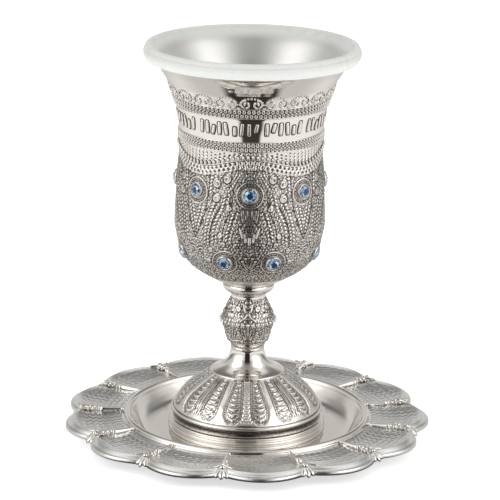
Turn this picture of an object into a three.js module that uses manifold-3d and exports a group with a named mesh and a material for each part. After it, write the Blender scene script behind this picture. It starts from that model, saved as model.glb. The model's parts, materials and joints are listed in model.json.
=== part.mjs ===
// A kiddush cup with its plate. An engraved cup of plated metal stands on a knopped stem and a
// domed foot, holds a loose plastic insert cup and is set with two rows of glass stones. It
// stands in the well of a plate of thirteen petals, with a rib and a tulip bell on each seam.
//
// Millimetres, +Z up. The origin is the centre of the plate's underside, where it stands.
// Angles go round the axis from the front (-Y) towards the right (+X).
import * as THREE from 'three';
import { mergeVertices } from 'three/addons/utils/BufferGeometryUtils.js';
import Module from 'manifold-3d';

const wasm = await Module();
wasm.setup();

// ---------------------------------------------------------------- driving dimensions
const METAL = 1.2;               // sheet thickness of the plate's floor and the foot's top

const WELL_FLOOR_RADIUS = 36.5;  // flat middle of the plate
const WELL_RING_RADIUS = 44.9;   // crest of the ring round the well
const WELL_RING_HEIGHT = 7.2;
const PETALS_START = 46.8;       // radius where the petals leave the ring
const PETAL_TIP_RADIUS = 67.6;
const PETAL_NOTCH_RADIUS = 62.1; // where two petals meet
const PETAL_COUNT = 13;
const FIRST_RIB = -7.54;         // degrees from the front to the nearest rib
const BELL_END_RADIUS = 65.2;    // a rib's bell reaches out to here

const FOOT_RADIUS = 28.9;
const DOME_RADIUS = 27;
const DOME_FOOT_HEIGHT = 8.7;    // the dome starts above the turned mouldings
const FOOT_TOP_RADIUS = 13.7;
const FOOT_TOP_HEIGHT = 21.4;    // from here on, heights are above the foot's standing edge
const LEAF_COUNT = 16;           // stacked leaves on the dome
const LEAF_RELIEF = 0.5;

const SKIRT_RADIUS = 13.6;
const STEM_WAIST_RADIUS = 6.1;
const KNOP_HEIGHT = 41.4;        // the knop's beaded equator
const KNOP_RADIUS = 10.5;
const KNOP_LEAVES = 12;
const COLLAR_RADIUS = 9.5;
const COLLAR_TOP = 55.5;         // the bowl stands on the collar here

const BELLY_RADIUS = 27.6;       // fullest part of the bowl
const WAIST_RADIUS = 26;         // slimmest part, under the inscription band
const LIP_RADIUS = 36.3;
const LIP_HEIGHT = 139.1;
const RIM_RADIUS = 39;           // the insert's rolled rim
const RIM_CREST_HEIGHT = 143.8;
const INSERT_FLOOR_HEIGHT = 66;

const STONE_RADIUS = 2.1;
const STONES_PER_ROW = 8;
const UPPER_STONE_HEIGHT = 94.5;
const LOWER_STONE_HEIGHT = 69;
const LOWER_STONE_SPREAD = 20;   // degrees to each side of the bowl's front, sides and back
const COLLET_RADIUS = 3.5;       // where the setting of a stone meets the skin
const FIT_GAP = 0.3;             // all round a stone in its collet

const FULL_TURN = 2 * Math.PI;
const radians = THREE.MathUtils.degToRad;

// ---------------------------------------------------------------- finishes
const finish = (color, roughness, metalness) =>
  new THREE.MeshStandardMaterial({ color, roughness, metalness });
const polishedMetal = finish('#d6d3cd', 0.14, 1);
const satinMetal = finish('#b9b9b7', 0.34, 1);
const milkyPlastic = finish('#e2e5e2', 0.3, 0);
const blueGlass = finish('#a9d4ee', 0.05, 0);

// ---------------------------------------------------------------- shared helpers

// A solid turned about +Z. The outline is a list of [radius, height] pairs that goes out and up
// round the outside. carve, where there is one, is given each point's radius, height and
// column, and returns its radius, height and angle.
function turned(outline, columns, carve = null) {
  const points = outline.map(([radius, height]) => new THREE.Vector2(radius, height));
  const geometry = new THREE.LatheGeometry(points, columns);
  geometry.rotateX(Math.PI / 2);
  if (!carve) return geometry;
  const position = geometry.getAttribute('position');
  for (let index = 0; index < position.count; index++) {
    const column = Math.floor(index / outline.length) % columns;
    const [radius, height] = outline[index % outline.length];
    const [r, z, angle] = carve(radius, height, column);
    position.setXYZ(index, r * Math.sin(angle), -r * Math.cos(angle), z);
  }
  return geometry;
}

function named(name, geometry, material) {
  const mesh = new THREE.Mesh(geometry, material);
  mesh.name = name;
  return mesh;
}

function solid(geometry) {
  const bare = geometry.clone();
  bare.deleteAttribute('normal');
  bare.deleteAttribute('uv');
  const closed = mergeVertices(bare, 1e-4);
  return new wasm.Manifold(new wasm.Mesh({
    numProp: 3,
    vertProperties: new Float32Array(closed.getAttribute('position').array),
    triVerts: new Uint32Array(closed.getIndex().array),
  }));
}

function fromSolid(manifold) {
  const mesh = manifold.getMesh();
  const geometry = new THREE.BufferGeometry();
  geometry.setAttribute('position', new THREE.BufferAttribute(mesh.vertProperties, 3));
  geometry.setIndex(new THREE.BufferAttribute(mesh.triVerts, 1));
  geometry.computeVertexNormals();
  return geometry;
}

// 1 in the middle of a stretch, falling smoothly to 0 at its two ends.
function swell(value, low, high) {
  if (value <= low || value >= high) return 0;
  return Math.sin(Math.PI * (value - low) / (high - low));
}

// ---------------------------------------------------------------- plate

// Radius of a petal's edge, an arc, at an angle from the petal's middle line.
const halfPetal = Math.PI / PETAL_COUNT;
const notchOut = PETAL_NOTCH_RADIUS * Math.cos(halfPetal);
const notchAcross = PETAL_NOTCH_RADIUS * Math.sin(halfPetal);
const arcCentre = (PETAL_TIP_RADIUS ** 2 - notchOut ** 2 - notchAcross ** 2)
  / (2 * (PETAL_TIP_RADIUS - notchOut));
const arcRadius = PETAL_TIP_RADIUS - arcCentre;

function petalEdge(angle) {
  return arcCentre * Math.cos(angle)
    + Math.sqrt(arcRadius ** 2 - (arcCentre * Math.sin(angle)) ** 2);
}

// The columns crowd together at each rib: shares of the way from one rib to the next.
const RIB_COLUMNS = [0, 0.05, 0.12, 0.3, 0.5, 0.7, 0.88, 0.95];
const RIB_HEIGHT = 1.1;
const RIB_SIDE_SHARE = 0.6;      // height of a rib's sides, as a share of its crest's
const BELL_HEIGHT = 1.7;
const BELL_START = 60;

function carvePlate(radius, height, column) {
  const share = RIB_COLUMNS[column % RIB_COLUMNS.length];
  const petal = Math.floor(column / RIB_COLUMNS.length);
  const angle = radians(FIRST_RIB) + (petal + share) * FULL_TURN / PETAL_COUNT;
  if (radius < PETALS_START) return [radius, height, angle];
  const fromRib = Math.min(share, 1 - share);
  const onRib = fromRib < RIB_COLUMNS[2];
  const edge = onRib ? BELL_END_RADIUS : petalEdge((share - 0.5) * 2 * halfPetal);
  const reach = (edge - PETALS_START) / (PETAL_TIP_RADIUS - PETALS_START);
  const moved = PETALS_START + (radius - PETALS_START) * reach;
  const crest = radius > BELL_START ? BELL_HEIGHT : RIB_HEIGHT;
  const proud = fromRib === 0 ? crest : crest * RIB_SIDE_SHARE;
  const lift = onRib && height > PETAL_UNDERSIDE ? proud : 0;
  return [moved, height + lift, angle];
}

const PETAL_UNDERSIDE = 4.75;
const plateOutline = [
  [0, 0],
  [WELL_FLOOR_RADIUS, 0],
  [40.4, 1.9],
  [43.9, 5.6],
  [PETALS_START + 1, 4.6],
  [66.4, 4.4],
  [PETAL_TIP_RADIUS, 3.9],
  [PETAL_TIP_RADIUS, 4.9],
  [63.3, 6.6],         // raised line round the petal
  [60.9, 5.8],
  [54, 5.3],
  [PETALS_START, 6],
  [WELL_RING_RADIUS, WELL_RING_HEIGHT],
  [43.4, 6.5],
  [39.8, 2.4],
  [WELL_FLOOR_RADIUS, METAL],
  [0, METAL],
];

function makePlate() {
  const columns = PETAL_COUNT * RIB_COLUMNS.length;
  return named('plate', turned(plateOutline, columns, carvePlate), satinMetal);
}

// ---------------------------------------------------------------- foot
const footOutline = [
  [0, FOOT_TOP_HEIGHT - METAL],
  [FOOT_TOP_RADIUS - 1.2, FOOT_TOP_HEIGHT - METAL],
  [21.6, 14.2],
  [25.9, 7.4],
  [FOOT_RADIUS - 1.5, 0],
  [FOOT_RADIUS, 0],
  [FOOT_RADIUS, 2.4],
  [28.3, 3.8],
  [27.3, 5.5],
  [27.8, 7.9],
  [DOME_RADIUS, DOME_FOOT_HEIGHT],
  [25.2, 11.8],
  [21.4, 16],
  [17.2, 19],
  [FOOT_TOP_RADIUS, FOOT_TOP_HEIGHT],
  [0, FOOT_TOP_HEIGHT],
];
const LEAF_COLUMNS = 3;          // the crest of a leaf and the two sides of the wedge beside it

// The leaves are pressed into the dome, so its inside follows its outside.
function carveFoot(radius, height, column) {
  const angle = FULL_TURN * (column / LEAF_COLUMNS + 0.5) / LEAF_COUNT;
  const onLeaf = column % LEAF_COLUMNS === 0 && radius > FOOT_TOP_RADIUS;
  const lift = onLeaf ? LEAF_RELIEF * swell(height, DOME_FOOT_HEIGHT, FOOT_TOP_HEIGHT) : 0;
  return [radius + lift, height + lift, angle];
}

function makeFoot() {
  return named('foot', turned(footOutline, LEAF_COUNT * LEAF_COLUMNS, carveFoot), polishedMetal);
}

// ---------------------------------------------------------------- stem
const KNOP_BOTTOM = 33.6;
const KNOP_TOP = 49.4;
const KNOP_RELIEF = 0.35;
const stemOutline = [
  [0, FOOT_TOP_HEIGHT],
  [SKIRT_RADIUS, FOOT_TOP_HEIGHT],
  [SKIRT_RADIUS, 22],
  [10.8, 22.9],
  [8.2, 24.8],
  [STEM_WAIST_RADIUS, 29.5],
  [6.4, 31.8],
  [7.9, KNOP_BOTTOM],
  [9.8, 39.4],
  [KNOP_RADIUS, KNOP_HEIGHT],
  [9.9, 43],
  [8.3, 46.2],
  [6.3, KNOP_TOP],
  [6.3, 50.6],
  [8.5, 52.6],
  [COLLAR_RADIUS, 54.3],
  [COLLAR_RADIUS, COLLAR_TOP],
  [0, COLLAR_TOP],
];

function carveStem(radius, height, column) {
  const relief = column % 2 === 0 ? KNOP_RELIEF * swell(height, KNOP_BOTTOM, KNOP_TOP) : 0;
  return [radius - relief, height, FULL_TURN * column / (2 * KNOP_LEAVES)];
}

function makeStem() {
  return named('stem', turned(stemOutline, 2 * KNOP_LEAVES, carveStem), polishedMetal);
}

// ---------------------------------------------------------------- bowl
const BOWL_COLUMNS = 36;
const bowlSkin = [
  [COLLAR_RADIUS, COLLAR_TOP],
  [18.4, 60.5],
  [22.4, 63.4],
  [25, 67],
  [26.8, 75.6],
  [BELLY_RADIUS, 76.4],
  [27.1, 90],
  [WAIST_RADIUS, 104.5],
  [WAIST_RADIUS, 109.9],
  [WAIST_RADIUS + 0.4, 110.3],   // lower braid
  [WAIST_RADIUS + 0.4, 113.3],
  [27.1, 121.8],
  [28, 122.6],                   // upper braid
  [28.7, 125.6],
  [30.2, 130.2],
  [32.2, 134],
  [LIP_RADIUS, 138.2],
  [LIP_RADIUS, LIP_HEIGHT],
];
const bowlInside = [
  [LIP_RADIUS - 1, LIP_HEIGHT],
  [31.2, 134.7],
  [29.1, 130.2],
  [25.7, 120.5],
  [24.9, 104.5],
  [26.2, 85],
  [24.6, 70.5],
  [21.4, 64.9],
  [0, 57],
];

// The point of the bowl's skin at a height, with the outward direction there.
function bowlSpot(angle, height) {
  const above = bowlSkin.findIndex(([, z]) => z > height);
  const [lowRadius, lowZ] = bowlSkin[above - 1];
  const [highRadius, highZ] = bowlSkin[above];
  const share = (height - lowZ) / (highZ - lowZ);
  const radius = THREE.MathUtils.lerp(lowRadius, highRadius, share);
  const tilt = Math.atan2(lowRadius - highRadius, highZ - lowZ);
  const across = [Math.sin(angle), -Math.cos(angle)];
  return {
    place: new THREE.Vector3(radius * across[0], radius * across[1], height),
    outward: new THREE.Vector3(
      Math.cos(tilt) * across[0], Math.cos(tilt) * across[1], Math.sin(tilt)),
  };
}

const stoneSeats = [];
for (let index = 0; index < STONES_PER_ROW; index++) {
  const number = index + 1;
  const upperAngle = FULL_TURN * index / STONES_PER_ROW;
  const panel = FULL_TURN / 4 * Math.ceil(index / 2);
  const lowerAngle = panel + radians(index % 2 ? -LOWER_STONE_SPREAD : LOWER_STONE_SPREAD);
  stoneSeats.push({ name: `stone_upper_${number}`, ...bowlSpot(upperAngle, UPPER_STONE_HEIGHT) });
  stoneSeats.push({ name: `stone_lower_${number}`, ...bowlSpot(lowerAngle, LOWER_STONE_HEIGHT) });
}

// A collet: a low ring on the skin round a pocket, which holds the stone. Heights are from the skin.
const COLLET_ROOT = -0.7;
const COLLET_RIM = 0.5;
const SEAT_HEIGHT = -0.5;
const STONE_SIDES = 8;
const seatRadius = STONE_RADIUS + FIT_GAP;
const colletOutline = [
  [0, COLLET_ROOT],
  [COLLET_RADIUS, COLLET_ROOT],
  [seatRadius + 0.5, COLLET_RIM],
  [0, COLLET_RIM],
];
const pocketOutline = [
  [0, SEAT_HEIGHT],
  [seatRadius, SEAT_HEIGHT],
  [seatRadius, COLLET_RIM + 1],
  [0, COLLET_RIM + 1],
];

// A small turned solid set on the bowl's skin, its axis along the skin's normal.
function onSeat(outline, seat) {
  const shape = turned(outline, STONE_SIDES);
  const upright = new THREE.Vector3(0, 0, 1);
  shape.applyQuaternion(new THREE.Quaternion().setFromUnitVectors(upright, seat.outward));
  shape.translate(seat.place.x, seat.place.y, seat.place.z);
  return solid(shape);
}

function makeBowl() {
  let bowl = solid(turned([[0, COLLAR_TOP], ...bowlSkin, ...bowlInside], BOWL_COLUMNS));
  for (const seat of stoneSeats) {
    bowl = bowl.add(onSeat(colletOutline, seat)).subtract(onSeat(pocketOutline, seat));
  }
  return named('bowl', fromSolid(bowl), polishedMetal);
}

// ---------------------------------------------------------------- stones
// A stone has a pointed back, a girdle and a flat table.
const GIRDLE_HEIGHT = 0.6;
const TABLE_HEIGHT = 1.3;
const stoneOutline = [
  [0, 0],
  [STONE_RADIUS, GIRDLE_HEIGHT],
  [STONE_RADIUS * 0.6, TABLE_HEIGHT],
  [0, TABLE_HEIGHT],
];

function makeStone(seat) {
  const stone = named(seat.name, turned(stoneOutline, STONE_SIDES), blueGlass);
  stone.quaternion.setFromUnitVectors(new THREE.Vector3(0, 0, 1), seat.outward);
  stone.position.copy(seat.place).addScaledVector(seat.outward, SEAT_HEIGHT + FIT_GAP);
  return stone;
}

// ---------------------------------------------------------------- insert cup
const INSERT_COLUMNS = 32;
const insertOutline = [
  [0, INSERT_FLOOR_HEIGHT],
  [14, INSERT_FLOOR_HEIGHT],
  [19.5, 68.4],
  [22.4, 74],
  [24.4, 104.5],
  [25.2, 120.5],
  [28.6, 130.4],
  [30.7, 134.9],
  [LIP_RADIUS - 1.1, LIP_HEIGHT],
  [LIP_RADIUS + 0.4, LIP_HEIGHT],
  [LIP_RADIUS + 0.5, 138.1],     // the rim hooks down over the lip
  [38, 138.1],
  [RIM_RADIUS, 140.7],
  [37.5, RIM_CREST_HEIGHT],
  [36.3, 143.4],
  [33.6, 140.4],
  [30, 134.9],
  [27.8, 130.4],
  [24.3, 120.5],
  [23.5, 104.5],
  [21.5, 74.6],
  [13.8, INSERT_FLOOR_HEIGHT + 0.9],
  [0, INSERT_FLOOR_HEIGHT + 0.9],
];

function makeInsert() {
  return named('insert_cup', turned(insertOutline, INSERT_COLUMNS), milkyPlastic);
}

// ---------------------------------------------------------------- the whole object
const cup = new THREE.Group();
cup.position.z = METAL;
cup.add(makeFoot(), makeStem(), makeBowl(), makeInsert(), ...stoneSeats.map(makeStone));

const kiddushCup = new THREE.Group();
kiddushCup.add(makePlate(), cup);

export default kiddushCup;
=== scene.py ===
import json
import math

import bmesh
import bpy
import numpy as np
from bpy.props import FloatProperty, FloatVectorProperty, PointerProperty
from mathutils import Matrix, Vector

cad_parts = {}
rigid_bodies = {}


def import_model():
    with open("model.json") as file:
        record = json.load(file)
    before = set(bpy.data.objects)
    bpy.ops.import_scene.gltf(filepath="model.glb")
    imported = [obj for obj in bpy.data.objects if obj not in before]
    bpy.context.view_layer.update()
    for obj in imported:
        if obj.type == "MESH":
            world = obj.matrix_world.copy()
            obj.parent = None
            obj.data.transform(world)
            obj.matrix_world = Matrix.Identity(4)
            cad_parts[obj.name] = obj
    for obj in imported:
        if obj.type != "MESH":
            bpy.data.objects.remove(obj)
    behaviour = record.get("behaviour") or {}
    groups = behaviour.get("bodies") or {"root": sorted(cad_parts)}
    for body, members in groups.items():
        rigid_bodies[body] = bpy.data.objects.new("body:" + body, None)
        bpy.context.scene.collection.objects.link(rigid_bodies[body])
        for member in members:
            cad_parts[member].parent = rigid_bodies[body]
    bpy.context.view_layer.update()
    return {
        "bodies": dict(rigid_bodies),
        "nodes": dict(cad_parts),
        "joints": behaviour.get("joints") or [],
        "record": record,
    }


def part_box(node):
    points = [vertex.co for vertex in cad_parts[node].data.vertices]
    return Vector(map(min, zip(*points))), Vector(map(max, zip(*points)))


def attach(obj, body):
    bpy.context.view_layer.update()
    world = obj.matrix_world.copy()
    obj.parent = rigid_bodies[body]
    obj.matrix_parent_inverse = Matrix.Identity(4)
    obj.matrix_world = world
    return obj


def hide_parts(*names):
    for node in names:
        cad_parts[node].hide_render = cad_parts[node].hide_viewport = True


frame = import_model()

bl_info = {
    "name": "Kiddush Cup",
    "version": (1, 0, 0),
    "blender": (4, 5, 0),
    "location": "View3D > Sidebar > Kiddush Cup",
    "description": "Dresses a stemmed kiddush cup and its petalled plate",
    "category": "Add Mesh",
}

# Lengths are in millimetres unless a name says otherwise; meshes are made in metres.
MM = 0.001
TURN = 2 * math.pi
BODY = "root"


def top(node):
    """Height of a CAD node's highest point, in millimetres."""
    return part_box(node)[1].z / MM


def bottom(node):
    """Height of a CAD node's lowest point, in millimetres."""
    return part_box(node)[0].z / MM


CUP_BASE = bottom("foot")
COLLAR_TOP = top("stem")

PETALS = 13
FIRST_RIB = -7.54
STONES_PER_ROW = 8
UPPER_STONES = CUP_BASE + 94.5
LOWER_STONES = CUP_BASE + 69.0
LOWER_SPREAD = 20.0
STONE_RADIUS = 2.1
# Radii of the plain patch round a stone, and of its outer wire, pearl ring and inner wire.
STONE_PATCH = 5.0
OUTER_WIRE = 4.65
PEARL_RING = 3.85
INNER_WIRE = 3.1
RING_PEARLS = 22
FILIGREE_SPACING = 1.25


# ------------------------------------------------------------------ settings of the add-on

class CUP_PG_sizes(bpy.types.PropertyGroup):
    """Sizes of the fine work, which the solids leave out"""

    chasing: FloatProperty(
        name="Chasing depth", description="How far the relief stands off the bowl",
        default=0.38 * MM, min=0.0, max=1.0 * MM, unit="LENGTH", precision=5)
    wire: FloatProperty(
        name="Wire thickness", description="Half the thickness of the applied wires",
        default=0.30 * MM, min=0.1 * MM, max=0.6 * MM, unit="LENGTH", precision=5)
    bead: FloatProperty(
        name="Bead radius", description="Radius of the small pearls",
        default=0.42 * MM, min=0.2 * MM, max=0.8 * MM, unit="LENGTH", precision=5)


class CUP_PG_finish(bpy.types.PropertyGroup):
    """Colours of the finishes"""

    silver: FloatVectorProperty(
        name="Plating", description="Colour of the bright plating",
        subtype="COLOR", default=(0.83, 0.805, 0.77), min=0.0, max=1.0)
    # Painted shade and oxide: this colour darkens every hollow of the chasing and the dark grounds under
    # wires, beads and bars.
    oxide_and_shade: FloatVectorProperty(
        name="Oxide and shade", description="Colour of the darkened recesses",
        subtype="COLOR", default=(0.080, 0.062, 0.050), min=0.0, max=1.0)
    satin: FloatVectorProperty(
        name="Satin plating", description="Colour of the plate's petals",
        subtype="COLOR", default=(0.84, 0.84, 0.83), min=0.0, max=1.0)
    plastic: FloatVectorProperty(
        name="Insert", description="Colour of the milky insert cup",
        subtype="COLOR", default=(0.78, 0.80, 0.77), min=0.0, max=1.0)
    backed: FloatVectorProperty(
        name="Insert over silver", description="Colour of the insert where the bowl shows through it",
        subtype="COLOR", default=(0.72, 0.72, 0.70), min=0.0, max=1.0)
    stone: FloatVectorProperty(
        name="Stones", description="Colour of the glass stones",
        subtype="COLOR", default=(0.32, 0.56, 0.76), min=0.0, max=1.0)
    # Painted shade: the darkest blue, for the facets painted as shaded and for the table.
    stone_shade: FloatVectorProperty(
        name="Stones, shaded facets", description="Colour deep in the glass stones",
        subtype="COLOR", default=(0.020, 0.060, 0.15), min=0.0, max=1.0)


# ------------------------------------------------------------------ shader helpers

class Wire:
    """An output socket; arithmetic on it adds Math nodes."""

    def __init__(self, tree, socket):
        self.tree = tree
        self.socket = socket

    def math(self, operation, *terms):
        """A Math node fed with the terms as they stand."""
        node = self.tree.nodes.new("ShaderNodeMath")
        node.operation = operation
        for slot, term in zip(node.inputs, terms):
            feed(self.tree, slot, term)
        return Wire(self.tree, node.outputs[0])

    def to(self, operation, *others):
        """A Math node fed with this wire first."""
        return self.math(operation, self, *others)

    def __add__(self, other):
        return self.math("ADD", self, other)

    def __sub__(self, other):
        return self.math("SUBTRACT", self, other)

    def __mul__(self, other):
        return self.math("MULTIPLY", self, other)

    def __truediv__(self, other):
        return self.math("DIVIDE", self, other)

    def __radd__(self, other):
        return self.math("ADD", other, self)

    def __rsub__(self, other):
        return self.math("SUBTRACT", other, self)

    def __rmul__(self, other):
        return self.math("MULTIPLY", other, self)


def feed(tree, slot, value):
    """Links a wire to an input socket, or sets the socket's own value."""
    if isinstance(value, Wire):
        tree.links.new(value.socket, slot)
    elif isinstance(value, (tuple, list)) and len(value) == 3 and slot.type == "RGBA":
        slot.default_value = (*value, 1.0)
    else:
        slot.default_value = value


class Shading:
    """Makes nodes in a tree."""

    def __init__(self, tree):
        self.tree = tree

    def node(self, kind, settings=None, inputs=None, output=0):
        node = self.tree.nodes.new(kind)
        for name, value in (settings or {}).items():
            if name == "stops":
                set_stops(node, value)
            else:
                setattr(node, name, value)
        for name, value in (inputs or {}).items():
            feed(self.tree, node.inputs[name], value)
        return Wire(self.tree, node.outputs[output])

    def mix(self, factor, first, second):
        """The first colour at factor 0, the second at 1."""
        return self.node("ShaderNodeMix", {"data_type": "RGBA"}, {0: factor, 6: first, 7: second}, 2)

    def place(self):
        """The point being shaded, in the object's own metres."""
        return self.node("ShaderNodeTexCoord", output=3)

    def axes(self, vector, count):
        """The first numbers of a vector, each a wire."""
        return [self.node("ShaderNodeSeparateXYZ", None, {0: vector}, axis) for axis in range(count)]

    def noise(self, scale, detail=2.0):
        return self.node("ShaderNodeTexNoise", None,
                         {"Vector": self.place(), "Scale": scale, "Detail": detail})

    def smooth_step(self, value, low, high):
        return self.node("ShaderNodeMapRange", {"interpolation_type": "SMOOTHSTEP"},
                         {"Value": value, "From Min": low, "From Max": high})


class Finish(Shading):
    """A material under construction."""

    def __init__(self, name, **shader):
        self.material = bpy.data.materials.new(name)
        self.material.use_nodes = True
        super().__init__(self.material.node_tree)
        self.shader = self.tree.nodes["Principled BSDF"]
        self.set(**shader)

    def set(self, **sockets):
        """Sets or links sockets of the shader, named with _ for each space."""
        for name, value in sockets.items():
            feed(self.tree, self.shader.inputs[name.replace("_", " ")], value)

    def bump(self, height, strength, distance):
        """Small relief in the shading; distance in metres."""
        self.set(Normal=self.node("ShaderNodeBump", None,
                                  {"Strength": strength, "Distance": distance, "Height": height}))


def set_stops(node, stops):
    """Fills a colour ramp with (position, colour) stops."""
    ramp = node.color_ramp
    for element, (position, colour) in zip(ramp.elements, stops):
        element.position, element.color = position, (*colour, 1.0)
    for position, colour in stops[2:]:
        ramp.elements.new(position).color = (*colour, 1.0)


def distance(x, y):
    """Length of the vector with two wires as its sides."""
    return (x * x + y * y).to("SQRT")


def attribute(finish, name):
    """A number kept on the mesh: relief is 0 in the recesses of the chasing and 1 on its crests."""
    return finish.node("ShaderNodeAttribute", {"attribute_name": name}, output=2)


# ------------------------------------------------------------------ finishes

LINES_PER_PETAL = 9
WAVE_LENGTH = 2.3
WAVE_SWING = 1.3


def polished_plating(colours):
    """Bright plating without oxide."""
    finish = Finish("polished_plating", Metallic=1.0, Base_Color=tuple(colours.silver))
    cloud = finish.noise(220.0, 3.0)
    finish.set(Roughness=0.04 + 0.07 * finish.smooth_step(cloud, 0.35, 0.75))
    finish.bump(finish.noise(160.0, 1.0), 0.06, 0.0006)
    return finish.material


def chased_plating(colours):
    """Bright on the crests of the relief, brown in its recesses with oxide and painted shade, mirror-like
    where turned.
    """
    finish = Finish("chased_plating")
    polish = attribute(finish, "polish")
    grime = finish.noise(1500.0, 3.0)
    height = attribute(finish, "relief") + 0.30 * (grime - 0.5)
    # Painted shade and oxide: the lower the relief, the more of the dark colour of the recesses.
    clear_of_oxide_and_shade = finish.smooth_step(height, 0.04, 0.50)
    finish.set(
        Base_Color=finish.mix(clear_of_oxide_and_shade, tuple(colours.oxide_and_shade), tuple(colours.silver)),
        Metallic=0.94 + 0.06 * polish,
        Roughness=0.36 - 0.17 * clear_of_oxide_and_shade - 0.12 * polish)
    finish.bump(finish.noise(3000.0, 2.0) * (1.0 - polish), 0.25, 0.00012)
    return finish.material


def satin_plating(colours):
    """Engine-turned petals: wavy lines that run outward, inside a smooth band."""
    finish = Finish("satin_plating", Metallic=1.0)
    petal = attribute(finish, "relief")
    turned = attribute(finish, "turning")
    x, y = finish.axes(finish.place(), 2)
    around = x.to("ARCTAN2", y * -1.0) - math.radians(FIRST_RIB)
    swing = (distance(x, y) * (TURN / (WAVE_LENGTH * MM))).to("SINE")
    wave = (around * float(PETALS * LINES_PER_PETAL) + WAVE_SWING * swing).to("SINE") * turned
    cloud = finish.noise(140.0, 3.0)
    finish.set(
        Base_Color=finish.mix(petal, tuple(colours.silver), tuple(colours.satin)),
        Roughness=0.07 + petal * (0.15 + 0.08 * cloud))
    finish.bump(wave + 0.10 * finish.noise(3200.0, 2.0) * petal, 0.45, 0.00009)
    return finish.material


def insert_plastic(colours):
    """Clear-milky plastic: white at the thick rim, and backed by the silver bowl further in."""
    finish = Finish("insert_plastic", IOR=1.47, Subsurface_Weight=0.25, Subsurface_Scale=0.003)
    backed = attribute(finish, "relief")
    cloud = finish.noise(90.0, 2.0)
    finish.set(
        Base_Color=finish.mix(backed, tuple(colours.plastic), tuple(colours.backed)),
        Metallic=0.80 * backed,
        Roughness=0.24 + 0.10 * backed + 0.08 * cloud)
    finish.bump(finish.noise(700.0, 2.0), 0.05, 0.0003)
    return finish.material


# Painted glint: the white of the brightest facets.
PAINTED_GLINT = (0.80, 0.92, 1.0)


def foiled_glass(colours):
    """Foil-backed glass with painted light: each facet gets its own painted brightness of blue, the
    brightest a painted white glint.
    """
    finish = Finish("foiled_glass", IOR=1.60, Coat_Weight=0.35, Coat_Roughness=0.03)
    facet = attribute(finish, "relief")
    cloud = finish.noise(900.0, 1.0)
    # Painted light and shade: the facet number picks a dark or a light blue, and above 0.8 a white glint.
    lit = finish.smooth_step(facet, 0.05, 0.55)
    deep = finish.mix(lit, tuple(colours.stone_shade), tuple(colours.stone))
    finish.set(
        Base_Color=finish.mix(finish.smooth_step(facet, 0.80, 0.95), deep, PAINTED_GLINT),
        Metallic=0.45, Roughness=0.08 + 0.06 * cloud)
    return finish.material


FINISHES = {
    "polished_plating": (polished_plating, "polished_plate"),
    "chased_plating": (chased_plating, "polished_plate"),
    "satin_plating": (satin_plating, "satin_plate"),
    "insert_plastic": (insert_plastic, "milky_plastic"),
    "foiled_glass": (foiled_glass, "blue_glass"),
}


# ------------------------------------------------------------------ outlines

def curve(step, *knots):
    """A smooth curve through knots, with points about a step apart."""
    knots = np.array(knots, float)
    if len(knots) == 2:
        slopes = np.repeat(knots[1:] - knots[:1], 2, 0)
    else:
        slopes = np.gradient(knots, axis=0)
    points = []
    for index in range(len(knots) - 1):
        start, end = knots[index], knots[index + 1]
        count = max(1, round(math.dist(start, end) / step))
        t = np.linspace(0, 1, count, endpoint=False)[:, None]
        points.append(
            (2 * t**3 - 3 * t**2 + 1) * start + (t**3 - 2 * t**2 + t) * slopes[index]
            + (3 * t**2 - 2 * t**3) * end + (t**3 - t**2) * slopes[index + 1])
    return np.vstack([*points, knots[-1:]])


def join(*stretches):
    """One outline from stretches that meet at corners."""
    kept = [stretches[0]]
    for before, after in zip(stretches, stretches[1:]):
        same = math.dist(before[-1], after[0]) < 1e-6
        kept.append(after[1:] if same else after)
    return np.vstack(kept)


def outward(profile):
    """Unit normals of a [radius, height] outline that runs up the outside."""
    along = np.gradient(profile, axis=0)
    normal = np.stack([along[:, 1], -along[:, 0]], 1)
    return normal / np.maximum(np.linalg.norm(normal, axis=1, keepdims=True), 1e-9)


def turn(profile, columns, lift=None, start=0.0):
    """Points of a profile turned about the axis, (rows, columns, 3), raised by lift."""
    lift = np.zeros((len(profile), columns)) if lift is None else lift
    normal = outward(profile)
    radius = profile[:, :1] + normal[:, :1] * lift
    height = profile[:, 1:] + normal[:, 1:] * lift
    angle = start + TURN * np.arange(columns) / columns
    return np.stack([radius * np.sin(angle), -radius * np.cos(angle), height], -1)


# ------------------------------------------------------------------ meshes

def grid_faces(rows, columns, loop):
    """Quads of a grid that closes round its columns and, if loop, round its rows too."""
    row = np.arange(rows if loop else rows - 1)[:, None]
    column = np.arange(columns)[None, :]
    here, up = row * columns, (row + 1) % rows * columns
    right = (column + 1) % columns
    return np.stack([here + column, here + right, up + right, up + column], -1).reshape(-1, 4)


def add_piece(name, points, faces, finish, replaces=(), **attributes):
    """A mesh object in metres, riding on the cup's body."""
    mesh = bpy.data.meshes.new(name)
    mesh.from_pydata((np.asarray(points) * MM).tolist(), [], [list(face) for face in faces])
    mesh.polygons.foreach_set("use_smooth", np.ones(len(mesh.polygons), bool))
    for label, values in attributes.items():
        layer = mesh.attributes.new(label, "FLOAT", "POINT")
        layer.data.foreach_set("value", np.asarray(values, np.float32).ravel())
    piece = bpy.data.objects.new(name, mesh)
    bpy.context.scene.collection.objects.link(piece)
    piece.data.materials.append(bpy.data.materials[finish])
    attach(piece, BODY)
    if replaces:
        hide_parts(*replaces)
    return piece


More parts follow.
